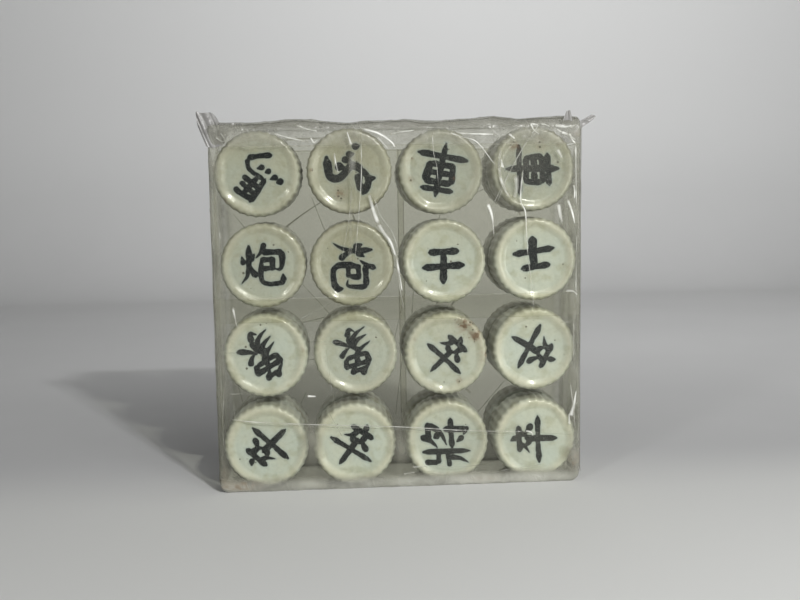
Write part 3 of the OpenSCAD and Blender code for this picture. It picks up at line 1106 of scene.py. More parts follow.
    def glaze_values(self, ring_r: Array, across: Array, up: Array, lip: Array, outer: Array, flute: Array,
                     on_face: Array) -> dict[str, Array]:
        """Where the glaze is creamy, bright, dirty, inked or stained, and where shade is painted on it.

        Args:
            ring_r: radius of each ring.
            across: places to the right of the axis.
            up: places above it.
            lip: share of the rim at each ring.
            outer: share of the fluted side at each ring.
            flute: depth share of the flutes round the piece.
            on_face: whether a ring is on the face's half.

        Returns:
            The values by name.
        """
        turn = math.radians(self.look.turn)
        mark_x = across * math.cos(turn) - up * math.sin(turn)
        mark_y = across * math.sin(turn) + up * math.cos(turn)
        offset = self.hand.normal(0.0, 0.35, 2)
        face_rings = self.floor_rings + self.slope_rings
        floor = int(np.searchsorted(ring_r[:face_rings], self.mark_reach))
        ink = np.full(across.shape, NO_INK)
        ink[:floor] = self.look.rank.ink_edge(mark_x[:floor] - offset[0], mark_y[:floor] - offset[1],
                                              self.look.size, self.hand)
        stain = np.zeros(across.shape)
        for mark in self.look.stains:
            away = ((across - mark.across) ** 2 + (up - mark.up) ** 2) / mark.radius**2
            stain = np.maximum(stain, mark.strength * np.exp(-away))
        # Painted shade: more cream towards the top of each face, which less light reaches.
        top_shade_share = self.top_shade * smoothstep(up, 0.0, 12.5) * on_face
        # Dirt and painted shade on the sides and in the flutes, where the pieces stand close together.
        grime_and_shade_share = outer * (0.55 + 0.45 * flute) * ~on_face
        grime_and_shade_share = grime_and_shade_share + 0.55 * outer * on_face * (0.4 + flute) * (1.0 - lip)
        return {
            "cream": self.look.cream + 0.35 * lip + top_shade_share,
            "painted_shade": self.look.painted_shade,
            "rim": lip * (0.75 + 0.25 * flute),
            "hollow": grime_and_shade_share,
            "ink": np.clip(ink, NO_INK, 1.0),
            "inked": on_face * 1.0,
            "stain": stain * on_face,
        }

    def placed(self, points: Array) -> Array:
        """Turns the piece's own right, up and height into the pack's frame."""
        side = 1.0 if self.faces_front else -1.0
        return self.middle + np.stack([side * points[:, 0], -side * points[:, 2], points[:, 1]], axis=-1)

    def build(self, material: Material) -> None:
        """Makes the piece in the place of its CAD node."""
        body = frame["nodes"][self.node]["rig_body"]
        dress_node(self.node, body, "glazed_" + self.node, self.surface(), material)


@dataclass(frozen=True)
class Spot:
    """A soft oval patch on the pack's front: its middle, its half sizes and its strength."""

    x: float
    z: float
    half_w: float
    half_h: float
    strength: float

    def share(self, points: Array) -> Array:
        """The strength times the bell curve of the distance from the middle, in half sizes."""
        across = (points[..., 0] - self.x) / self.half_w
        up = (points[..., 2] - self.z) / self.half_h
        return self.strength * np.exp(-(across**2) - up**2)


# Film before this depth is the pack's front.
FRONT_Y = -8.0
FILM_DIRT = (
    Spot(-55.0, 2.4, 5.5, 1.5, 1.3),
    Spot(-61.0, 5.5, 1.6, 4.5, 0.6),
    Spot(60.6, 7.6, 2.6, 3.2, 0.75),
    Spot(61.0, 121.2, 1.3, 1.6, 0.5),
    Spot(-61.2, 112.0, 1.0, 1.6, 0.4),
    Spot(30.0, 2.2, 6.0, 0.9, 0.35),
)
FILM_HAZE_AND_GAP_LIGHT = (
    Spot(36.0, 112.0, 20.0, 12.0, 0.13),
    Spot(36.0, 16.0, 18.0, 8.0, 0.12),
    Spot(60.4, 9.6, 1.8, 2.4, 0.5),
    Spot(-15.0, 108.0, 6.0, 14.0, 0.10),
    # These two are painted light: milky patches that lighten the gaps between the lowest row's pieces.
    Spot(-31.0, 16.0, 2.8, 8.0, 0.6),
    Spot(-0.4, 16.0, 2.8, 8.0, 0.6),
    Spot(31.0, 93.0, 9.0, 9.0, 0.25),
    Spot(-54.5, 122.6, 6.5, 2.6, 0.30),
    Spot(46.0, 122.8, 17.0, 2.4, 0.20),
    Spot(6.0, 123.2, 12.0, 1.8, 0.12),
    Spot(58.0, 62.0, 5.0, 50.0, 0.08),
    Spot(-58.0, 60.0, 4.0, 50.0, 0.06),
)


def film_dirt(points: Array) -> Array:
    """How much old dust lies on the film's front, from 0 to 1.

    Args:
        points: places on the film.

    Returns:
        The spots' sum at each place, made uneven by noise.
    """
    total = sum(spot.share(points) for spot in FILM_DIRT)
    uneven = np.clip(0.55 + 0.6 * lattice_noise(points / 1.1, 93), 0.0, 1.0)
    return np.clip(total, 0.0, 1.0) * uneven * (points[..., 1] < FRONT_Y)


def film_values(points: Array, white: object, slack: object, veil: object) -> dict[str, object]:
    """The values that a film finish reads.

    Args:
        points: places on the film.
        white: how white a crease is there.
        slack: how loose the film lies.
        veil: how hazy it is.

    Returns:
        These values by name, with where the rear's own tint shows and where dust lies.
    """
    rear = smoothstep(points[..., 1], 4.0, 11.0) * (np.abs(points[..., 0]) < 61.0)
    return {"white": white, "slack": slack, "veil": veil, "rear": rear, "dirt": film_dirt(points)}


@dataclass(frozen=True)
class Crease:
    """A sharp fold in a film: its route on the panel, its widths, how white it is and how far it rises."""

    route: Route = ()
    width: float = 0.5
    end_width: float = 0.3
    white: float = 0.6
    rise: float = 0.12


def ribbon(middle: Array, normal: Array, crease: Crease) -> Surface:
    """A narrow ridge along a crease, whitest in its middle.

    Five points lie across each step: two at the edges on the film, and three on a tent over it. The
    whiteness falls off as one less the square of the place across, and fades out at the crease's ends.

    Args:
        middle: points along the crease, on the film.
        normal: the film's outward normals there.
        crease: its widths and whiteness.

    Returns:
        The ridge.
    """
    count = len(middle)
    share = np.linspace(0.0, 1.0, count)[:, None]
    step = np.gradient(middle, axis=0)
    side = np.cross(step, normal)
    side /= np.maximum(np.linalg.norm(side, axis=-1, keepdims=True), 1e-9)
    place = np.array([-1.0, -0.5, 0.0, 0.5, 1.0])
    half = (crease.width + (crease.end_width - crease.width) * share) / 2.0
    lift = 0.03 + crease.rise * (1.0 - np.abs(place))
    points = middle[:, None] - side[:, None] * (half * place)[..., None] + normal[:, None] * lift[:, None]
    ends = smoothstep(share, 0.0, 0.12) * (1.0 - smoothstep(share, 0.88, 1.0))
    patches = 0.85 + 0.5 * lattice_noise(points / 2.4, 41)
    white = crease.white * (1.0 - place**2) * (0.25 + 0.75 * ends) * patches
    return Surface.grid(points, film_values(points, np.clip(white, 0.0, 1.0), 0.2, 0.0))


# Creases on the front, in X and Z. Their white is partly stress-whitened film and partly painted highlight
# where light caught the folds.
WRAP_CREASES_AND_GLINTS = (
    Crease(((-59.7, 26.1), (-50.6, 24.7), (-32.6, 23.3), (-0.5, 21.4), (22.2, 19.4), (45.2, 18.1)),
           0.5, 0.45, 0.7),
    Crease(((-58.0, 25.2), (-32.0, 22.6), (0.0, 20.6), (24.0, 18.5), (44.0, 17.4)), 0.35, 0.3, 0.4),
    Crease(((45.0, 18.1), (59.8, 16.7)), 0.3, 0.2, 0.3),
    Crease(((43.4, 18.6), (45.6, 18.0), (46.2, 16.6)), 1.2, 0.5, 0.85),
    Crease(((-16.8, 122.9), (-15.4, 118.2)), 0.4, 1.4, 0.85),
    Crease(((-21.2, 116.0), (-20.7, 112.2), (-19.9, 108.7)), 0.9, 0.7, 0.75),
    Crease(((-14.8, 116.6), (-15.4, 110.0), (-15.6, 103.3)), 3.4, 2.6, 0.32, 0.02),
    Crease(((-15.6, 103.5), (-16.2, 90.0), (-16.6, 79.0)), 2.2, 1.6, 0.22, 0.02),
    Crease(((-12.1, 122.8), (-12.2, 108.2), (-13.3, 95.2), (-15.0, 79.0)), 0.5, 0.35, 0.62),
    Crease(((-15.6, 104.6), (-16.5, 94.6), (-19.5, 79.4)), 0.35, 0.3, 0.45),
    Crease(((-9.7, 102.0), (-8.9, 98.3), (-6.7, 91.4)), 1.4, 1.8, 0.95),
    Crease(((-6.9, 92.0), (-5.0, 88.8), (-2.6, 85.3), (-0.9, 80.1)), 1.8, 0.9, 0.9),
    Crease(((-0.9, 80.6), (0.2, 74.0), (1.0, 68.4)), 1.0, 0.6, 0.8),
    Crease(((-8.2, 101.6), (-6.2, 95.0), (-2.0, 88.6), (0.0, 82.0)), 0.4, 0.35, 0.6),
    Crease(((-0.9, 80.1), (0.3, 69.1), (1.5, 62.2)), 0.6, 0.4, 0.5),
    Crease(((-12.1, 123.7), (-6.6, 122.1), (-1.9, 119.1), (-0.7, 117.1)), 1.1, 0.7, 0.9),
    Crease(((-6.8, 121.0), (-4.4, 118.4), (-3.0, 116.8)), 0.8, 0.3, 0.8),
    Crease(((-34.0, 125.0), (-30.0, 123.6), (-26.2, 122.8)), 0.9, 0.5, 0.85),
    Crease(((-41.8, 122.5), (-36.8, 121.0), (-29.7, 119.4)), 0.7, 0.6, 0.8),
    Crease(((-29.0, 121.0), (-27.8, 119.2), (-26.6, 120.2)), 0.8, 0.4, 0.85),
    Crease(((17.7, 122.1), (21.8, 120.6), (27.0, 118.8), (32.2, 112.4), (33.5, 110.7)), 0.7, 0.45, 0.75),
    Crease(((20.5, 121.7), (29.2, 121.4), (33.2, 121.3)), 0.9, 0.5, 0.85),
    Crease(((-2.3, 121.8), (2.0, 122.5), (6.3, 122.9)), 1.0, 0.6, 0.75),
    Crease(((46.7, 123.6), (36.6, 105.6), (32.5, 97.5)), 0.35, 0.3, 0.55),
    Crease(((46.7, 122.6), (39.4, 110.9), (33.2, 96.8)), 0.35, 0.3, 0.5),
    Crease(((45.3, 125.0), (46.6, 122.6), (48.7, 120.9)), 0.9, 0.7, 0.85),
    Crease(((37.9, 121.4), (40.1, 119.7)), 1.2, 0.8, 0.75),
    Crease(((30.6, 98.2), (32.1, 93.8), (32.8, 86.4)), 1.9, 0.3, 0.85),
    Crease(((42.8, 109.2), (42.0, 99.3), (43.6, 95.0), (44.0, 87.5), (44.5, 79.2)), 0.8, 0.5, 0.8),
    Crease(((44.5, 79.2), (45.6, 71.6), (46.6, 60.4)), 0.5, 0.3, 0.5),
    Crease(((34.6, 110.6), (35.6, 105.0), (38.6, 99.2)), 1.6, 1.1, 0.75, 0.02),
    # Painted reflection: a white streak over the glaze highlight of the piece below, not a fold.
    Crease(((40.4, 107.6), (40.6, 103.0), (39.6, 99.6)), 2.4, 1.4, 0.40, 0.02),
    Crease(((54.6, 116.0), (55.6, 114.4), (56.3, 112.9)), 1.9, 1.3, 0.75),
    Crease(((58.6, 121.5), (59.6, 119.4), (60.8, 118.1)), 1.4, 0.8, 0.9),
    Crease(((55.1, 97.8), (55.6, 94.4), (56.4, 90.4)), 1.9, 1.5, 0.7),
    Crease(((58.1, 99.2), (59.8, 95.0), (60.9, 90.2)), 1.6, 0.5, 0.85),
    Crease(((60.4, 104.2), (60.7, 101.6), (60.6, 99.1)), 0.8, 0.6, 0.8),
    Crease(((-56.5, 64.5), (-55.7, 59.8), (-55.2, 57.5)), 1.2, 0.4, 0.85),
    Crease(((59.3, 36.2), (60.4, 27.0), (61.2, 18.3)), 0.6, 0.8, 0.5),
    Crease(((59.0, 24.5), (59.2, 20.2)), 0.3, 1.5, 0.85),
    Crease(((-25.4, 49.0), (-24.6, 42.1), (-23.7, 34.4), (-23.1, 29.5)), 0.3, 0.25, 0.4),
    Crease(((-24.9, 27.1), (-20.6, 18.8)), 0.3, 0.25, 0.4),
    Crease(((-34.3, 59.8), (-23.7, 65.0)), 0.35, 0.25, 0.45),
    Crease(((-60.6, 35.5), (-60.9, 26.8)), 0.45, 0.35, 0.5),
    Crease(((-58.8, 34.7), (-46.9, 34.4)), 0.4, 0.3, 0.45),
    Crease(((-57.3, 31.9), (-57.2, 26.0)), 0.35, 0.3, 0.4),
    Crease(((55.8, 56.7), (61.4, 56.6)), 0.4, 0.3, 0.4),
    Crease(((-31.5, 52.0), (-18.9, 51.6)), 0.35, 0.25, 0.35),
    Crease(((-61.0, 48.9), (-54.9, 48.8)), 0.35, 0.25, 0.4),
    Crease(((11.9, 121.9), (12.3, 115.6), (13.3, 110.9), (13.9, 104.0)), 0.5, 0.25, 0.6),
    Crease(((35.3, 113.2), (35.5, 110.2)), 0.9, 0.6, 0.8),
    Crease(((34.8, 105.5), (37.0, 102.4), (39.2, 100.2)), 0.7, 0.5, 0.5),
    Crease(((57.6, 67.6), (60.2, 67.4), (61.8, 66.0)), 1.4, 0.8, 0.85),
    Crease(((-60.0, 89.8), (-59.9, 87.4)), 0.3, 0.3, 0.8),
    Crease(((0.4, 4.6), (4.6, 5.2)), 0.8, 0.4, 0.6),
    Crease(((53.5, 124.2), (57.0, 123.6), (61.0, 124.0)), 1.3, 0.8, 0.85),
    Crease(((55.9, 121.8), (58.4, 120.8), (61.1, 119.0)), 1.5, 1.0, 0.8),
    Crease(((54.0, 123.0), (56.6, 121.6), (58.7, 121.1)), 0.5, 0.4, 0.7),
    Crease(((45.5, 124.6), (47.8, 124.2), (46.9, 122.6), (45.5, 121.2)), 0.8, 0.4, 0.85),
    Crease(((48.8, 124.6), (50.2, 124.4), (52.1, 123.6)), 0.7, 0.4, 0.8),
    Crease(((47.4, 123.5), (50.0, 122.8), (53.5, 123.1)), 0.4, 0.3, 0.6),
    Crease(((35.2, 112.7), (36.1, 109.9)), 1.3, 0.8, 0.75),
    Crease(((-60.4, 121.4), (-58.0, 119.8), (-55.6, 121.2)), 0.9, 0.4, 0.7),
    Crease(((-58.6, 122.6), (-57.2, 120.6)), 0.5, 0.4, 0.6),
    # These five are painted glints, where light caught the film.
    Crease(((61.6, 33.0), (60.6, 27.0), (59.6, 23.2)), 0.6, 2.4, 0.95),
    Crease(((-32.2, 33.2), (-29.2, 33.0)), 1.1, 0.7, 0.95),
    Crease(((3.6, 7.0), (8.4, 7.0)), 0.5, 0.4, 0.8),
    Crease(((12.0, 7.2), (20.0, 6.4), (30.0, 7.2)), 0.35, 0.3, 0.5),
    Crease(((34.0, 4.6), (50.0, 6.4)), 0.35, 0.3, 0.4),
    # These three, down the right-hand edge, are painted light that lightens the dark strip there.
    Crease(((61.0, 118.0), (61.3, 96.0)), 0.9, 0.5, 0.75),
    Crease(((61.4, 88.0), (61.2, 64.0)), 0.5, 0.8, 0.6),
    Crease(((60.2, 62.0), (60.8, 36.0)), 0.8, 0.5, 0.5),
    Crease(((-61.2, 112.0), (-61.0, 70.0)), 0.7, 0.9, 0.3, 0.02),
    Crease(((-61.4, 66.0), (-61.2, 14.0)), 0.9, 0.7, 0.3, 0.02),
    Crease(((35.4, 117.0), (34.6, 109.6), (37.6, 101.6)), 1.6, 1.0, 0.5, 0.03),
)


@dataclass
class Film:
    """What the film sheets share: how folds, slack and haze are laid on a grid of points."""

    seed: int
    relief: float
    bulge: float
    fold: float = 8.0

    def slack(self, points: Array) -> Array:
        """How loose the film lies at each place, from 0 to 1."""
        return np.full(points.shape[:-1], 0.12)

    def veil(self, points: Array) -> Array:
        """How hazy the film is at each place, from 0 to 1."""
        return np.full(points.shape[:-1], 0.02)

    def whitening_and_glints(self, points: Array) -> Array:
        """How white the film is at each place, from 0 to 1, partly stress-whitening and partly painted
        highlight.
        """
        return np.zeros(points.shape[:-1])

    def lift(self, points: Array) -> Array:
        """How far the film stands out: soft bulges everywhere, and upright folds where it is slack.

        Args:
            points: places on the smooth sheet.

        Returns:
            The distance at each place.
        """
        soft = self.bulge * (0.5 + 0.5 * cloud_noise(points, 26.0, self.seed))
        stretched = points * np.array([1.0, 1.0, 0.6])
        folds = ridge_noise(stretched, self.fold, self.seed + 20, 2.0)
        return soft + self.relief * self.slack(points) * folds

    def sheet(self, points: Array) -> Surface:
        """The folded sheet with its values.

        Args:
            points: grid of the smooth sheet, whose points are moved out along its normals.

        Returns:
            The surface.
        """
        moved = points + grid_normals(points) * self.lift(points)[..., None]
        values = film_values(points, self.whitening_and_glints(points), self.slack(points), self.veil(points))
        return Surface.grid(moved, values)

    def ridge(self, crease: Crease, route: Array, axis: int, level: object, side: float) -> Surface:
        """The ridge of a crease on a flat panel, laid on the panel's bulges and folds.

        Args:
            crease: its widths and whiteness.
            route: points along it in the panel's own two directions, one a row.
            axis: which of X, Y and Z the panel faces, as 0, 1 or 2.
            level: where the panel lies on that axis, for all points or for each of them.
            side: 1 where it faces up the axis, and -1 where it faces down.

        Returns:
            The ridge.
        """
        points = np.insert(route, axis, level, axis=1)
        normal = np.zeros_like(points)
        normal[:, axis] = side
        return ribbon(points + normal * self.lift(points)[:, None], normal, crease)


def scattered_creases(rng: np.random.Generator, count: int, low: Array, high: Array) -> list[Crease]:
    """Random short creases over a panel, most of them steep.

    Args:
        rng: draws their places.
        count: how many to draw; those that come out too short are left out.
        low: the panel's lower corner.
        high: its upper corner.

    Returns:
        The creases.
    """
    creases = []
    for _ in range(count):
        start = rng.uniform(low, high)
        lean = rng.normal(0.0, 0.9)
        reach = rng.uniform(0.05, 0.3) * (high - low).max()
        stop = np.clip(start + reach * np.array([math.sin(lean), math.cos(lean)]), low, high)
        bend = (start + stop) / 2 + rng.normal(0.0, 0.02, 2) * reach
        if np.linalg.norm(stop - start) > 2.0:
            route = tuple(map(tuple, (start, bend, stop)))
            creases.append(Crease(route, rng.uniform(0.3, 1.0), 0.3, rng.uniform(0.25, 0.75)))
    return creases


@dataclass
class OuterWrap(Film):
    """The outer sheet: once round the pack with a lap across the front, and tucked in at both ends."""

    seed: int = 11
    relief: float = 0.85
    bulge: float = 0.18
    lap_top: float = 67.0
    lap: float = 8.0
    tuck: float = 6.0
    corner_r: float = 3.5
    fold_r: float = 1.1
    tent: float = 1.9
    step: float = 0.72

    def __post_init__(self) -> None:
        """Reads the sheet's sizes from its CAD box."""
        low, high = box_mm("outer_wrap")
        self.half_w = high[0] - PLY / 2
        self.front = low[1] + PLY * 1.5
        self.back = high[1] - PLY / 2
        self.top = high[2] - PLY / 2

    def slack(self, points: Array) -> Array:
        """Loosest along the top, at the ears and down the right-hand edge, tight over the middle.

        Args:
            points: places on the smooth sheet.

        Returns:
            How loose the film lies there, from 0 to 1.
        """
        x, z = points[..., 0], points[..., 2]
        top = smoothstep(z, self.top - 9.0, self.top - 4.0) * 0.9
        right = smoothstep(x, 24.0, 40.0) * smoothstep(z, 78.0, 96.0) * 0.35
        edge = smoothstep(np.abs(x), self.half_w - 7.0, self.half_w - 1.0) * 0.5
        low = (1.0 - smoothstep(z, 1.0, 8.0)) * 0.5
        return np.clip(np.maximum.reduce([top, right, edge, low]) + 0.04, 0.0, 1.0)

    def veil(self, points: Array) -> Array:
        """Haziest along the lower edge, hazy along the top and at the sides, and in soft spots in front, two
        of which are painted light in the lowest row's gaps.

        Args:
            points: places on the smooth sheet.

        Returns:
            How hazy the film is there.
        """
        x, z = points[..., 0], points[..., 2]
        top = smoothstep(z, self.top - 8.0, self.top - 5.0) * 0.12
        top = top + smoothstep(z, self.top - 1.2, self.top) * 0.10
        edge = smoothstep(np.abs(x), self.half_w - 3.5, self.half_w) * 0.18
        low = (1.0 - smoothstep(z, 0.3, 1.6)) * 0.65
        skirt = (1.0 - smoothstep(z, 3.0, 6.0)) * (0.40 + 0.14 * smoothstep(x, -20.0, 40.0))
        total = np.maximum.reduce([top, edge, low, skirt * (points[..., 1] < FRONT_Y)])
        return total + sum(spot.share(points) for spot in FILM_HAZE_AND_GAP_LIGHT) * (points[..., 1] < 0.0)

    def whitening_and_glints(self, points: Array) -> Array:
        """White folds along the top and down both edges, partly painted highlight, and a milky lower edge in
        front.

        Args:
            points: places on the smooth sheet.

        Returns:
            How white the film is there, from 0 to 1.
        """
        x, z = np.abs(points[..., 0]), points[..., 2]
        lying = ridge_noise(points * np.array([0.45, 1.0, 2.0]), 9.0, self.seed + 40, 3.0)
        upright = ridge_noise(points * np.array([2.4, 1.0, 0.12]), 7.0, self.seed + 41, 3.0)
        top = 0.20 * lying**2 * smoothstep(z, self.top - 7.0, self.top - 3.0)
        foot = 0.22 * (1.0 - smoothstep(z, 2.0, 5.0)) * (points[..., 1] < FRONT_Y)
        # Partly painted highlight: white streaks down both edges.
        sides = 0.26 * upright * smoothstep(x, self.half_w - 5.0, self.half_w - 1.5)
        return np.maximum.reduce([top, foot, sides])

    def base(self) -> Array:
        """The smooth sheet: the round of the pack in Y and Z, carried from tuck to tuck along X.

        The round starts at the top of the lap, on the outer ply, and ends under it. Rows that are tucked
        in shrink towards the middle of the end, and the lower edge rises in a quarter circle at each end.
        The top rises like a tent to the line of the seal.

        Returns:
            Its grid of points.
        """
        lap_low = self.lap_top - self.lap
        corners = [(self.front, self.lap_top), (self.front, PLY / 2), (self.back, PLY / 2),
                   (self.back, self.top), (self.front, self.top), (self.front, lap_low)]
        ring = rounded_path(np.array(corners), self.fold_r, self.step)
        run = np.concatenate([[0.0], np.cumsum(np.linalg.norm(np.diff(ring, axis=0), axis=1))])
        ring[:, 0] -= PLY * (1.0 - smoothstep(run, self.lap, self.lap + 6.0))
        ends = [(-self.half_w, self.tuck), (-self.half_w, 0.0), (self.half_w, 0.0), (self.half_w, self.tuck)]
        width = rounded_path(np.array(ends), 0.8, self.step)
        mid_y, mid_z = (self.front + self.back) / 2, self.top / 2
        shrink_y = 1.0 - width[:, 1] / (self.back - mid_y)
        shrink_z = 1.0 - width[:, 1] / mid_z
        x = np.broadcast_to(width[:, 0], (len(ring), len(width)))
        y = mid_y + (ring[:, :1] - mid_y) * shrink_y
        z = mid_z + (ring[:, 1:] - mid_z) * shrink_z
        tent = np.interp(y, (self.front, self.front + 3.2, self.back), (0.0, 1.0, 0.1))
        rise = self.tent * (0.25 + crest_share(x / self.half_w))
        z = z + rise * tent * smoothstep(z, self.top - 1.2, self.top)
        return np.stack([x, y, raised_ends(x, z, self.half_w, self.corner_r, self.top)], axis=-1)

    def front_level(self, route: Array) -> Array:
        """Where the front panel lies in Y at points in X and Z: further out where the outer ply laps."""
        lapped = (route[:, 1] < self.lap_top) & (route[:, 1] > self.lap_top - self.lap - 6.0)
        return self.front - PLY * lapped

    def creases(self) -> list[Surface]:
        """Ridges of the creases on the front, and of scattered ones on the back, top and underside.

        Returns:
            The ridges.
        """
        surfaces = []
        for crease in WRAP_CREASES_AND_GLINTS:
            route = along(np.array(crease.route), 10 + 8 * len(crease.route))
            surfaces.append(self.ridge(crease, route, 1, self.front_level(route), -1.0))
        rng = np.random.default_rng(self.seed)
        half = self.half_w - 3.0
        behind = np.array([-half, 3.0]), np.array([half, self.top - 2.0])
        above = np.array([-half, 2.0 - self.back]), np.array([half, self.back - 2.0])
        panels = ((46, behind, 24, 1, self.back, 1.0), (26, above, 16, 2, self.top, 1.0),
                  (10, above, 16, 2, PLY / 2, -1.0))
        for count, corners, points, axis, level, side in panels:
            for crease in scattered_creases(rng, count, *corners):
                route = along(np.array(crease.route), points)
                surfaces.append(self.ridge(crease, route, axis, level, side))
        return surfaces

    def edges(self) -> list[Surface]:
        """Thin bright lines along the two edges of the lap.

        Returns:
            The ridges that show as lines.
        """
        surfaces = []
        for height, white in ((self.lap_top, 0.42), (self.lap_top - self.lap, 0.16)):
            route = np.insert(np.linspace(-self.half_w, self.half_w, 90)[:, None], 1, height, axis=1)
            crease = Crease(width=0.3, end_width=0.3, white=white, rise=0.02)
            surfaces.append(self.ridge(crease, route, 1, self.front_level(route), -1.0))
        return surfaces

    def build(self, material: Material) -> None:
        """Makes the sheet with its creases in the place of its CAD node."""
        parts = [self.sheet(self.base()), *self.edges(), *self.creases()]
        dress_node("outer_wrap", FILM_BODY, "wrap_sheet", Surface.joined(parts), material)


CRESTS = ((-1.0, 0.3), (-0.81, 0.2), (-0.54, 0.85), (-0.27, 0.25), (0.05, 0.7), (0.16, 0.25), (0.53, 1.0),
          (0.67, 0.65), (0.9, 0.95), (1.0, 0.8))


def crest_share(place: Array) -> Array:
    """Height share of the pack's crest at places from -1 to 1 along its top."""
    at, height = np.array(CRESTS).T
    return np.interp(place, at, height)


def raised_ends(x: Array, z: Array, half_w: float, radius: float, top: float) -> Array:
    """Heights of a sheet whose lower corners are quarter circles seen from the front.

    The lower edge rises by the circle's height near each end, and all heights above share that rise.

    Args:
        x: places to the right of the middle.
        z: their heights on a sheet with square corners.
        half_w: half the sheet's width.
        radius: the corners' radius.
        top: the sheet's height.

    Returns:
        The new heights.
    """
    beyond = np.clip(np.abs(x) - (half_w - radius), 0.0, radius)
    lift = radius - np.sqrt(radius**2 - beyond**2)
    return lift + z * (top - lift) / top


@dataclass
class InnerSleeve(Film):
    """The film bag round the block: open at the top, with an upright lap seam up its back."""

    seed: int = 31
    relief: float = 0.10
    bulge: float = 0.04
    corner_r: float = 3.25
    fold_r: float = 0.8
    seam_x: float = 3.0
    seam_w: float = 2.0
    seam_low: float = 4.0
    step: float = 0.95

    def __post_init__(self) -> None:
        """Reads the bag's sizes from its CAD box."""
        low, high = box_mm("inner_sleeve")
        self.half_w = high[0] - PLY / 2
        self.front = low[1] + PLY / 2
        self.back = high[1] - PLY * 1.5
        self.low = low[2] + PLY / 2
        self.top = high[2]

    def base(self) -> Array:
        """The smooth bag: the round of the block in X and Y, carried from the bottom's middle line up.

        Rows on the bottom shrink towards the middle line, where the bag's bottom seam is.

        Returns:
            Its grid of points.
        """
        half_y = (self.back - self.front) / 2
        mid_y = (self.back + self.front) / 2
        corners = [(0.0, -half_y), (self.half_w, -half_y), (self.half_w, half_y), (-self.half_w, half_y),
                   (-self.half_w, -half_y), (-1e-3, -half_y)]
        ring = rounded_path(np.array(corners), self.fold_r, self.step)
        inward = [(half_y * 0.999, self.low), (0.0, self.low), (0.0, self.top)]
        rise = rounded_path(np.array(inward), 1.2, self.step)[::-1]
        x = ring[:, 0] * (1.0 - rise[:, :1] / self.half_w)
        y = mid_y + ring[:, 1] * (1.0 - rise[:, :1] / half_y)
        z = np.broadcast_to(rise[:, 1:], x.shape) - self.low
        z = self.low + raised_ends(x, z, self.half_w, self.corner_r, self.top - self.low)
        return np.stack([x, y, z], axis=-1)

    def lines(self) -> list[Surface]:
        """The mouth's edge all round, and the two edges of the seam up the back.

        Returns:
            The ridges that show as lines.
        """
        surfaces = []
        mouth = Crease(width=0.32, end_width=0.32, white=0.34, rise=0.02)
        rim = self.base()[0]
        squared = (self.back / self.half_w) ** 2
        outward = np.stack([rim[:, 0] * squared, rim[:, 1], np.zeros(len(rim))], axis=-1)
        outward /= np.linalg.norm(outward, axis=-1, keepdims=True)
        surfaces.append(ribbon(rim - np.array([0.0, 0.0, 0.2]), outward, mouth))
        seam = Crease(width=0.4, end_width=0.4, white=0.5, rise=0.02)
        up = np.linspace(self.seam_low, self.top, 80)
        for x in (self.seam_x - self.seam_w / 2, self.seam_x + self.seam_w / 2):
            route = np.stack([np.full_like(up, x), np.full_like(up, self.back), up], axis=-1)
            surfaces.append(ribbon(route, np.tile([0.0, 1.0, 0.0], (len(up), 1)), seam))
        return surfaces

    def seam_strip(self) -> Surface:
        """The outer ply of the seam, a narrow strip of film laid on the back.

        Returns:
            The strip.
        """
        across = np.linspace(self.seam_x - self.seam_w / 2, self.seam_x + self.seam_w / 2, 5)
        up = np.linspace(self.seam_low, self.top, 120)
        x, z = np.meshgrid(across, up)
        points = np.stack([x[:, ::-1], np.full(x.shape, self.back + PLY), z], axis=-1)[::-1]
        return Surface.grid(points, film_values(points, 0.0, 0.1, 0.05))

    def build(self, material: Material) -> None:
        """Makes the bag in the place of its CAD node."""
        parts = [self.sheet(self.base()), self.seam_strip(), *self.lines()]
        dress_node("inner_sleeve", FILM_BODY, "sleeve_bag", Surface.joined(parts), material)


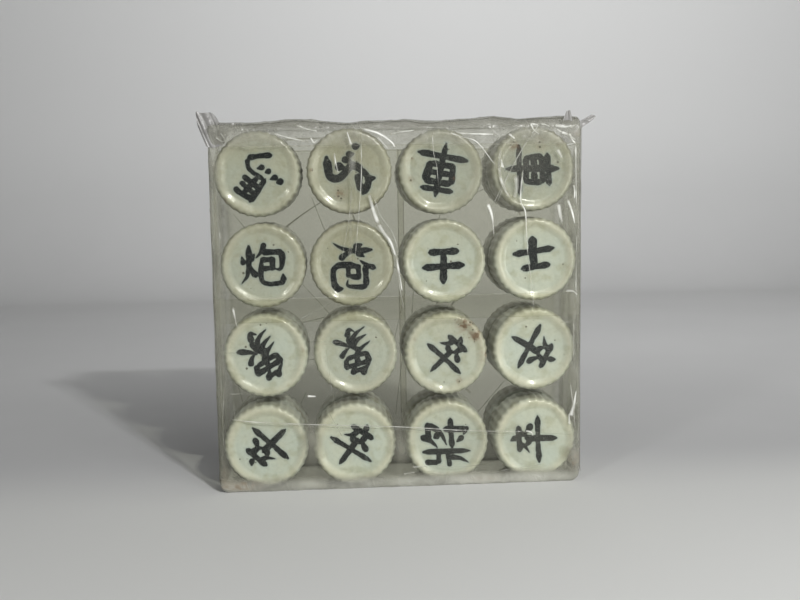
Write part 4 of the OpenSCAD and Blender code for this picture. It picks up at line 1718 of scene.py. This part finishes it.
@dataclass
class EndFold(Film):
    """Front and rear flaps that close one end, cut at 45 degrees, the rear one lapped over the front one."""

    seed: int = 51
    relief: float = 0.5
    bulge: float = 0.10
    right: bool = True
    lap: float = 6.0
    corner_r: float = 3.5

    def __post_init__(self) -> None:
        """Reads the end's sizes from its CAD box and the wrap's."""
        self.node = "right_end_fold" if self.right else "left_end_fold"
        low, high = box_mm(self.node)
        self.side = 1.0 if self.right else -1.0
        self.face = (high[0] if self.right else -low[0]) - 2 * PLY
        self.front, self.back = low[1], high[1]
        self.top = high[2]
        self.reach = (self.back - self.front + self.lap) / 2

    def slack(self, points: Array) -> Array:
        """Evenly loose."""
        return np.full(points.shape[:-1], 0.45)

    def veil(self, points: Array) -> Array:
        """Evenly a little hazy."""
        return np.full(points.shape[:-1], 0.12)

    def flap(self, rear: bool) -> Array:
        """Grid of one flap: across its reach, and up between its two slanting ends.

        Args:
            rear: whether it is the rear flap, which lies on the front one.

        Returns:
            The points, with their faces outwards.
        """
        out = np.linspace(0.0, self.reach, 24)
        up = np.linspace(0.0, 1.0, 150)
        low = self.corner_r + out
        z = low + (self.top - out - low) * up[:, None]
        y = self.back - out if rear else self.front + out
        x = self.side * (self.face + PLY * (1.4 if rear else 0.5))
        points = np.stack([np.full(z.shape, x), np.broadcast_to(y, z.shape), z], axis=-1)
        return points if rear == self.right else points[::-1]

    def folds(self) -> list[Surface]:
        """White lines along the flaps' slanting ends, the lapped edge and a few creases.

        Returns:
            The ridges that show as lines.
        """
        x = self.side * (self.face + PLY * 1.6)
        inner = self.back - self.reach
        low, high = self.corner_r + self.reach, self.top - self.reach
        runs = [((self.back, self.corner_r), (inner, low)), ((self.back, self.top), (inner, high)),
                ((self.front, self.corner_r), (self.front + self.reach, low)),
                ((self.front, self.top), (self.front + self.reach, high)), ((inner, low), (inner, high))]
        creases = [Crease(run, 0.4, 0.35, 0.5) for run in runs]
        rng = np.random.default_rng(self.seed)
        edge = np.array([self.front + 1.5, 12.0]), np.array([self.back - 1.5, self.top - 8.0])
        creases += scattered_creases(rng, 22, *edge)
        return [self.ridge(crease, along(np.array(crease.route), 40), 0, x, self.side) for crease in creases]

    def build(self, material: Material) -> None:
        """Makes both flaps in the place of their CAD node."""
        parts = [self.sheet(self.flap(False)), self.sheet(self.flap(True)), *self.folds()]
        dress_node(self.node, FILM_BODY, "folded_" + self.node, Surface.joined(parts), material)


@dataclass
class TopSeal:
    """The crimped film edge along the top, with a rolled hem on its uneven crest."""

    columns: int = 420
    crimp: float = 1.9
    hem_r: float = 0.16

    def __post_init__(self) -> None:
        """Reads the seal's sizes from its CAD box."""
        low, high = box_mm("top_seal")
        self.half_w = high[0]
        self.depth = (low[1] + high[1]) / 2
        self.swing = (high[1] - low[1]) / 2 - self.hem_r / 2
        self.foot, self.height = low[2], high[2] - low[2]

    def crest(self, x: Array) -> Array:
        """Height of the crest along the top, with small nicks."""
        nicks = 0.10 * lattice_noise(np.stack([x / 2.6, x * 0, x * 0], axis=-1), 5)
        return self.foot + (self.height - self.hem_r) * crest_share(x / self.half_w) + nicks

    def surface(self) -> Surface:
        """A crimped band up to the crest, and a thin closed roll of film along it.

        The band swings to and fro as a sine that grows with height. The roll is a circle carried along
        the crest.

        Returns:
            Both as one surface.
        """
        x = np.linspace(-self.half_w, self.half_w, self.columns)
        up = np.linspace(0.0, 1.0, 9)[:, None]
        uneven = lattice_noise(np.stack([x / 6.0, x * 0, x * 0], axis=-1), 8)
        swing = self.swing * (0.55 + 0.45 * uneven) * np.sin(2.0 * math.pi * x / self.crimp + 3.0 * uneven)
        crest = self.crest(x)
        z = (self.foot - 0.6) + (crest - self.foot + 0.6) * up
        y = self.depth + swing * (0.3 + 0.7 * up)
        band = np.stack([np.broadcast_to(x, z.shape), y, z], axis=-1)[::-1]
        veil = 0.10 + 0.18 * up[::-1] + np.zeros(z.shape)
        folds = ridge_noise(band * np.array([0.45, 1.0, 2.0]), 9.0, 71, 3.0)
        crimps = smoothstep(np.abs(np.cos(math.pi * x / self.crimp)), 0.8, 1.0) * (0.2 + 0.8 * uneven**2)
        white = 0.18 * folds**2 + 0.05 * crimps
        parts = [Surface.grid(band, film_values(band, white, 0.35, veil))]
        turn = np.linspace(0.0, 2.0 * math.pi, 8, endpoint=False)
        roll = np.stack([
            np.broadcast_to(x[:, None], (self.columns, 8)),
            (self.depth + swing)[:, None] + self.hem_r * np.cos(turn),
            crest[:, None] + self.hem_r * np.sin(turn),
        ], axis=-1)
        parts.append(Surface.grid(roll, film_values(roll, 0.0, 0.4, 0.5), closed=True))
        return Surface.joined(parts)

    def build(self, material: Material) -> None:
        """Makes the seal in the place of its CAD node."""
        dress_node("top_seal", FILM_BODY, "crimped_top_seal", self.surface(), material)


@dataclass(frozen=True)
class Tuft:
    """One gathered tongue of film: a surface between a root line and a tip line, pleated across."""

    root: Route
    tip: Route
    pleats: float
    depth: float
    near: float
    far: float
    haze: float = 0.85
    white: float = 0.30
    columns: int = 120
    rows: int = 26

    def surface(self) -> Surface:
        """Straight lines from root to tip, swung in and out of the plane by a growing sine.

        Returns:
            The tongue, hazier between its pleats and white along their tops.
        """
        share = np.linspace(0.0, 1.0, self.columns)
        out = np.linspace(0.0, 1.0, self.rows)[:, None, None]
        root, tip = (along(np.array(route), self.columns) for route in (self.root, self.tip))
        flat = root + (tip - root) * out
        out = out[..., 0]
        wave = np.sin(2.0 * math.pi * self.pleats * share + 1.7 * np.sin(7.0 * share + 1.2 * out))
        y = self.near + (self.far - self.near) * out + self.depth * wave * (0.35 + 0.65 * out)
        points = np.stack([flat[..., 0], y, flat[..., 1]], axis=-1)
        patchy = 0.5 + 0.5 * lattice_noise(points / 1.6, 77)
        white = self.white * np.maximum(wave, 0.0) ** 6 * patchy
        veil = self.haze * (0.95 - 0.10 * wave + 0.10 * patchy)
        return Surface.grid(points, film_values(points, white, 0.35, veil))


class Ears:
    """The gathered film at the pack's two upper corners."""

    def build(self, material: Material) -> None:
        """Makes the left tuft, the right peak and the right tail, each in the place of its CAD node."""
        ears = (("left_ear", "gathered_left_ear", self.left_tufts()),
                ("right_ear_peak", "gathered_right_peak", self.peak_tufts()),
                ("right_ear_tail", "gathered_right_tail", self.tail_tufts()))
        for node, name, tufts in ears:
            surface = Surface.joined([tuft.surface() for tuft in tufts])
            dress_node(node, FILM_BODY, name, surface, material)

    @staticmethod
    def left_tufts() -> list[Tuft]:
        """A leaf-shaped fan from the corner up and out, a shorter one before it, and a flap along the top.

        Returns:
            The three tongues.
        """
        x, z, y = box_mm("left_end_fold")[0][0], box_mm("outer_wrap")[1][2], box_mm("left_ear")[0][1]
        return [
            Tuft(((x - 0.4, z - 6.6), (x + 2.2, z - 7.0), (x + 5.6, z - 5.8), (x + 7.0, z - 2.6)),
                 ((x - 3.0, z + 0.2), (x - 3.4, z + 3.2), (x - 3.3, z + 4.9), (x - 1.4, z + 4.5),
                  (x + 1.4, z + 4.6), (x + 3.2, z + 3.0), (x + 4.3, z + 0.8)),
                 5.6, 0.15, y - 0.35, y + 1.0),
            Tuft(((x + 0.4, z - 5.4), (x + 2.4, z - 5.8), (x + 4.8, z - 4.6)),
                 ((x - 2.4, z - 0.8), (x - 2.8, z + 2.2), (x - 1.0, z + 3.4), (x + 1.2, z + 2.4)), 2.2, 0.18,
                 y + 0.1, y + 1.7, 0.6),
            Tuft(((x + 2.8, z - 3.4), (x + 6.4, z - 2.2), (x + 11.4, z - 0.6)),
                 ((x + 3.4, z + 0.9), (x + 7.2, z + 1.2), (x + 11.8, z + 0.8)),
                 1.6, 0.14, y - 0.25, y + 0.5, 0.75),
        ]

    @staticmethod
    def peak_tufts() -> list[Tuft]:
        """One pointed film corner.

        Returns:
            Its one tongue.
        """
        low, high = box_mm("right_ear_peak")
        tip = low[0] + 0.45 * (high[0] - low[0])
        depth = (low[1] + high[1]) / 2
        return [Tuft(((low[0] - 1.0, low[2] - 0.4), (high[0] - 0.3, low[2] - 0.4)),
                     ((tip - 0.9, high[2] - 0.4), (tip + 0.4, high[2])), 1.2, 0.12, depth, depth, 1.2, 0.35)]

    @staticmethod
    def tail_tufts() -> list[Tuft]:
        """A flat folded strip that runs up and out, with a blunt end.

        Returns:
            Its one tongue.
        """
        low, high = box_mm("right_ear_tail")
        left, base, reach, rise = low[0], low[2], high[0] - low[0], high[2] - low[2]
        depth = (low[1] + high[1]) / 2
        return [Tuft(((left - 0.6, base + 0.05 * rise), (left - 0.6, base + 0.60 * rise)),
                     ((left + 0.84 * reach, base + 0.69 * rise), (high[0], base + 0.90 * rise),
                      (left + 0.70 * reach, high[2])), 1.2, 0.10, depth, depth, 1.2, 0.35)]


@dataclass
class Lamp:
    """A square light: its place, side, power and what it faces."""

    name: str
    place: tuple[float, float, float]
    side: float
    watts: float
    aim: tuple[float, float, float] = (0.0, 0.0, 60.0)

    def build(self) -> None:
        """Adds the light."""
        light = bpy.data.lights.new(self.name, "AREA")
        light.energy = self.watts
        light.size = self.side * MM
        lamp = bpy.data.objects.new(self.name, light)
        lamp.location = Vector(self.place) * MM
        lamp.rotation_euler = (Vector(self.aim) - Vector(self.place)).to_track_quat("-Z", "Y").to_euler()
        bpy.context.scene.collection.objects.link(lamp)


@dataclass
class Studio:
    """Pale paper sweep, lamps and the camera. The two small key lights give the shadow its double edge."""

    lens: float = 41.85
    sensor: float = 36.0
    camera_place: tuple[float, float, float] = (-21.29, -330.71, 98.11)
    yaw: float = 3.894
    pitch: float = 5.853
    roll: float = -0.88
    floor_front: float = -1000.0
    floor_back: float = 640.0
    sweep_r: float = 110.0
    wall_top: float = 700.0
    half_w: float = 1000.0
    lamps: tuple[Lamp, ...] = (
        Lamp("key_light_left", (308.0, -744.0, 546.0), 24.0, 2.55),
        Lamp("key_light_right", (340.0, -744.0, 546.0), 24.0, 2.35),
        Lamp("fill_light", (-620.0, -760.0, 520.0), 100.0, 1.5),
        Lamp("front_light", (120.0, -330.0, 310.0), 200.0, 0.42, (0.0, -40.0, 0.0)),
        Lamp("low_light", (300.0, -330.0, 60.0), 160.0, 0.56, (30.0, 0.0, 30.0)),
        Lamp("wall_light", (190.0, 60.0, 640.0), 600.0, 3.7, (230.0, 760.0, 600.0)),
    )
    ambient: float = 0.08
    air: Colour = (0.97, 0.985, 1.0)

    def build(self, paper: Material) -> None:
        """Builds everything round the object.

        Args:
            paper: the sweep's material.
        """
        self.sweep(paper)
        for lamp in self.lamps:
            lamp.build()
        self.camera()
        world = bpy.data.worlds.new("studio_air")
        world.use_nodes = True
        background = world.node_tree.nodes["Background"]
        background.inputs["Color"].default_value = (*self.air, 1.0)
        background.inputs["Strength"].default_value = self.ambient
        bpy.context.scene.world = world

    def sweep(self, paper: Material) -> None:
        """Floor, quarter-circle bend and wall: one profile carried along X.

        Args:
            paper: its material.
        """
        turn = np.linspace(0.0, math.pi / 2, 14)
        floor = np.linspace(self.floor_front, self.floor_back, 30)
        y = np.concatenate([floor, self.floor_back + self.sweep_r * np.sin(turn)[1:],
                            [self.floor_back + self.sweep_r]])
        z = np.concatenate([np.zeros_like(floor), self.sweep_r * (1.0 - np.cos(turn))[1:], [self.wall_top]])
        across = np.linspace(-self.half_w, self.half_w, 3)
        points = np.stack(np.broadcast_arrays(across, y[:, None], z[:, None]), axis=-1)
        make_piece("paper_sweep", Surface.grid(points[::-1], {}), paper)

    def camera(self) -> None:
        """The camera: yaw turns it to the right, pitch down, and roll turns its picture."""
        yaw, pitch, roll = (math.radians(angle) for angle in (self.yaw, self.pitch, self.roll))
        ahead = Vector((math.sin(yaw) * math.cos(pitch), math.cos(yaw) * math.cos(pitch), -math.sin(pitch)))
        level = Vector((math.cos(yaw), -math.sin(yaw), 0.0))
        upright = level.cross(ahead)
        right = math.cos(roll) * level + math.sin(roll) * upright
        up = math.cos(roll) * upright - math.sin(roll) * level
        data = bpy.data.cameras.new("studio_camera")
        data.lens, data.sensor_width = self.lens, self.sensor
        data.clip_start = 0.01
        camera = bpy.data.objects.new("studio_camera", data)
        turned = Matrix((right, up, -ahead)).transposed().to_4x4()
        camera.matrix_world = Matrix.Translation(Vector(self.camera_place) * MM) @ turned
        bpy.context.scene.collection.objects.link(camera)
        bpy.context.scene.camera = camera


def build_pieces(effects: Effects) -> None:
    """Makes the two layers of playing pieces: black marks to the front, and red ones to the back.

    Args:
        effects: the shared groups.
    """
    black = PorcelainGlaze("black_marked_glaze", ink=(0.008, 0.011, 0.015), ink_bleed=(0.22, 0.29, 0.33))
    red = PorcelainGlaze("red_marked_glaze", ink=(0.26, 0.035, 0.022), ink_bleed=(0.55, 0.33, 0.27))
    layers = (("black", black.build(effects), FRONT_LOOKS, 100), ("red", red.build(effects), BACK_LOOKS, 150))
    for colour, material, looks, first_seed in layers:
        layer = [node for node in frame["record"]["behaviour"]["bodies"] if node.split("_")[0] == colour]
        for number, (node, look) in enumerate(zip(reading_order(layer), looks)):
            PlayingPiece(node, look, first_seed + number, faces_front=colour == "black").build(material)


def reading_order(nodes: list[str]) -> list[str]:
    """Nodes of one layer by rows of four from the top, each row from the left as seen from the front.

    Args:
        nodes: the layer's nodes.

    Returns:
        The same nodes in that order.
    """
    middles = {node: sum(box_mm(node)) / 2 for node in nodes}
    by_height = sorted(nodes, key=lambda node: -middles[node][2])
    rows = [by_height[start:start + 4] for start in range(0, len(by_height), 4)]
    return [node for row in rows for node in sorted(row, key=lambda node: middles[node][0])]


def build_film(effects: Effects) -> None:
    """Makes the film pieces from the inside out.

    Args:
        effects: the shared groups.
    """
    sleeve = FilmFinish("sleeve_film_finish", tint=(0.962, 0.963, 0.932), veil=(0.42, 0.42, 0.37),
                        cloudiness=0.003, crinkle=0.2)
    wrap = FilmFinish("wrap_film_finish", tint=(0.955, 0.955, 0.922), veil=(0.29, 0.287, 0.232),
                      cloudiness=0.004, crinkle=0.35)
    crimped = FilmFinish("crimped_film_finish", tint=(0.87, 0.862, 0.848), veil=(0.215, 0.21, 0.20),
                         cloudiness=0.04, crinkle=0.5)
    InnerSleeve().build(sleeve.build(effects))
    wrap_material = wrap.build(effects)
    OuterWrap().build(wrap_material)
    EndFold(right=False, seed=52).build(wrap_material)
    EndFold(right=True, seed=57).build(wrap_material)
    crimped_material = crimped.build(effects)
    TopSeal().build(crimped_material)
    Ears().build(crimped_material)


def main() -> None:
    """Builds the studio, the porcelain and the film, in that order."""
    logging.basicConfig(level=logging.INFO, format="%(name)s: %(message)s", stream=sys.stdout)
    scene = bpy.context.scene
    scene.view_settings.view_transform = "Standard"
    scene.cycles.transparent_max_bounces = 32
    effects = Effects()
    Studio().build(PaperFinish().build(effects))
    build_pieces(effects)
    build_film(effects)


if __name__ == "__main__":
    main()
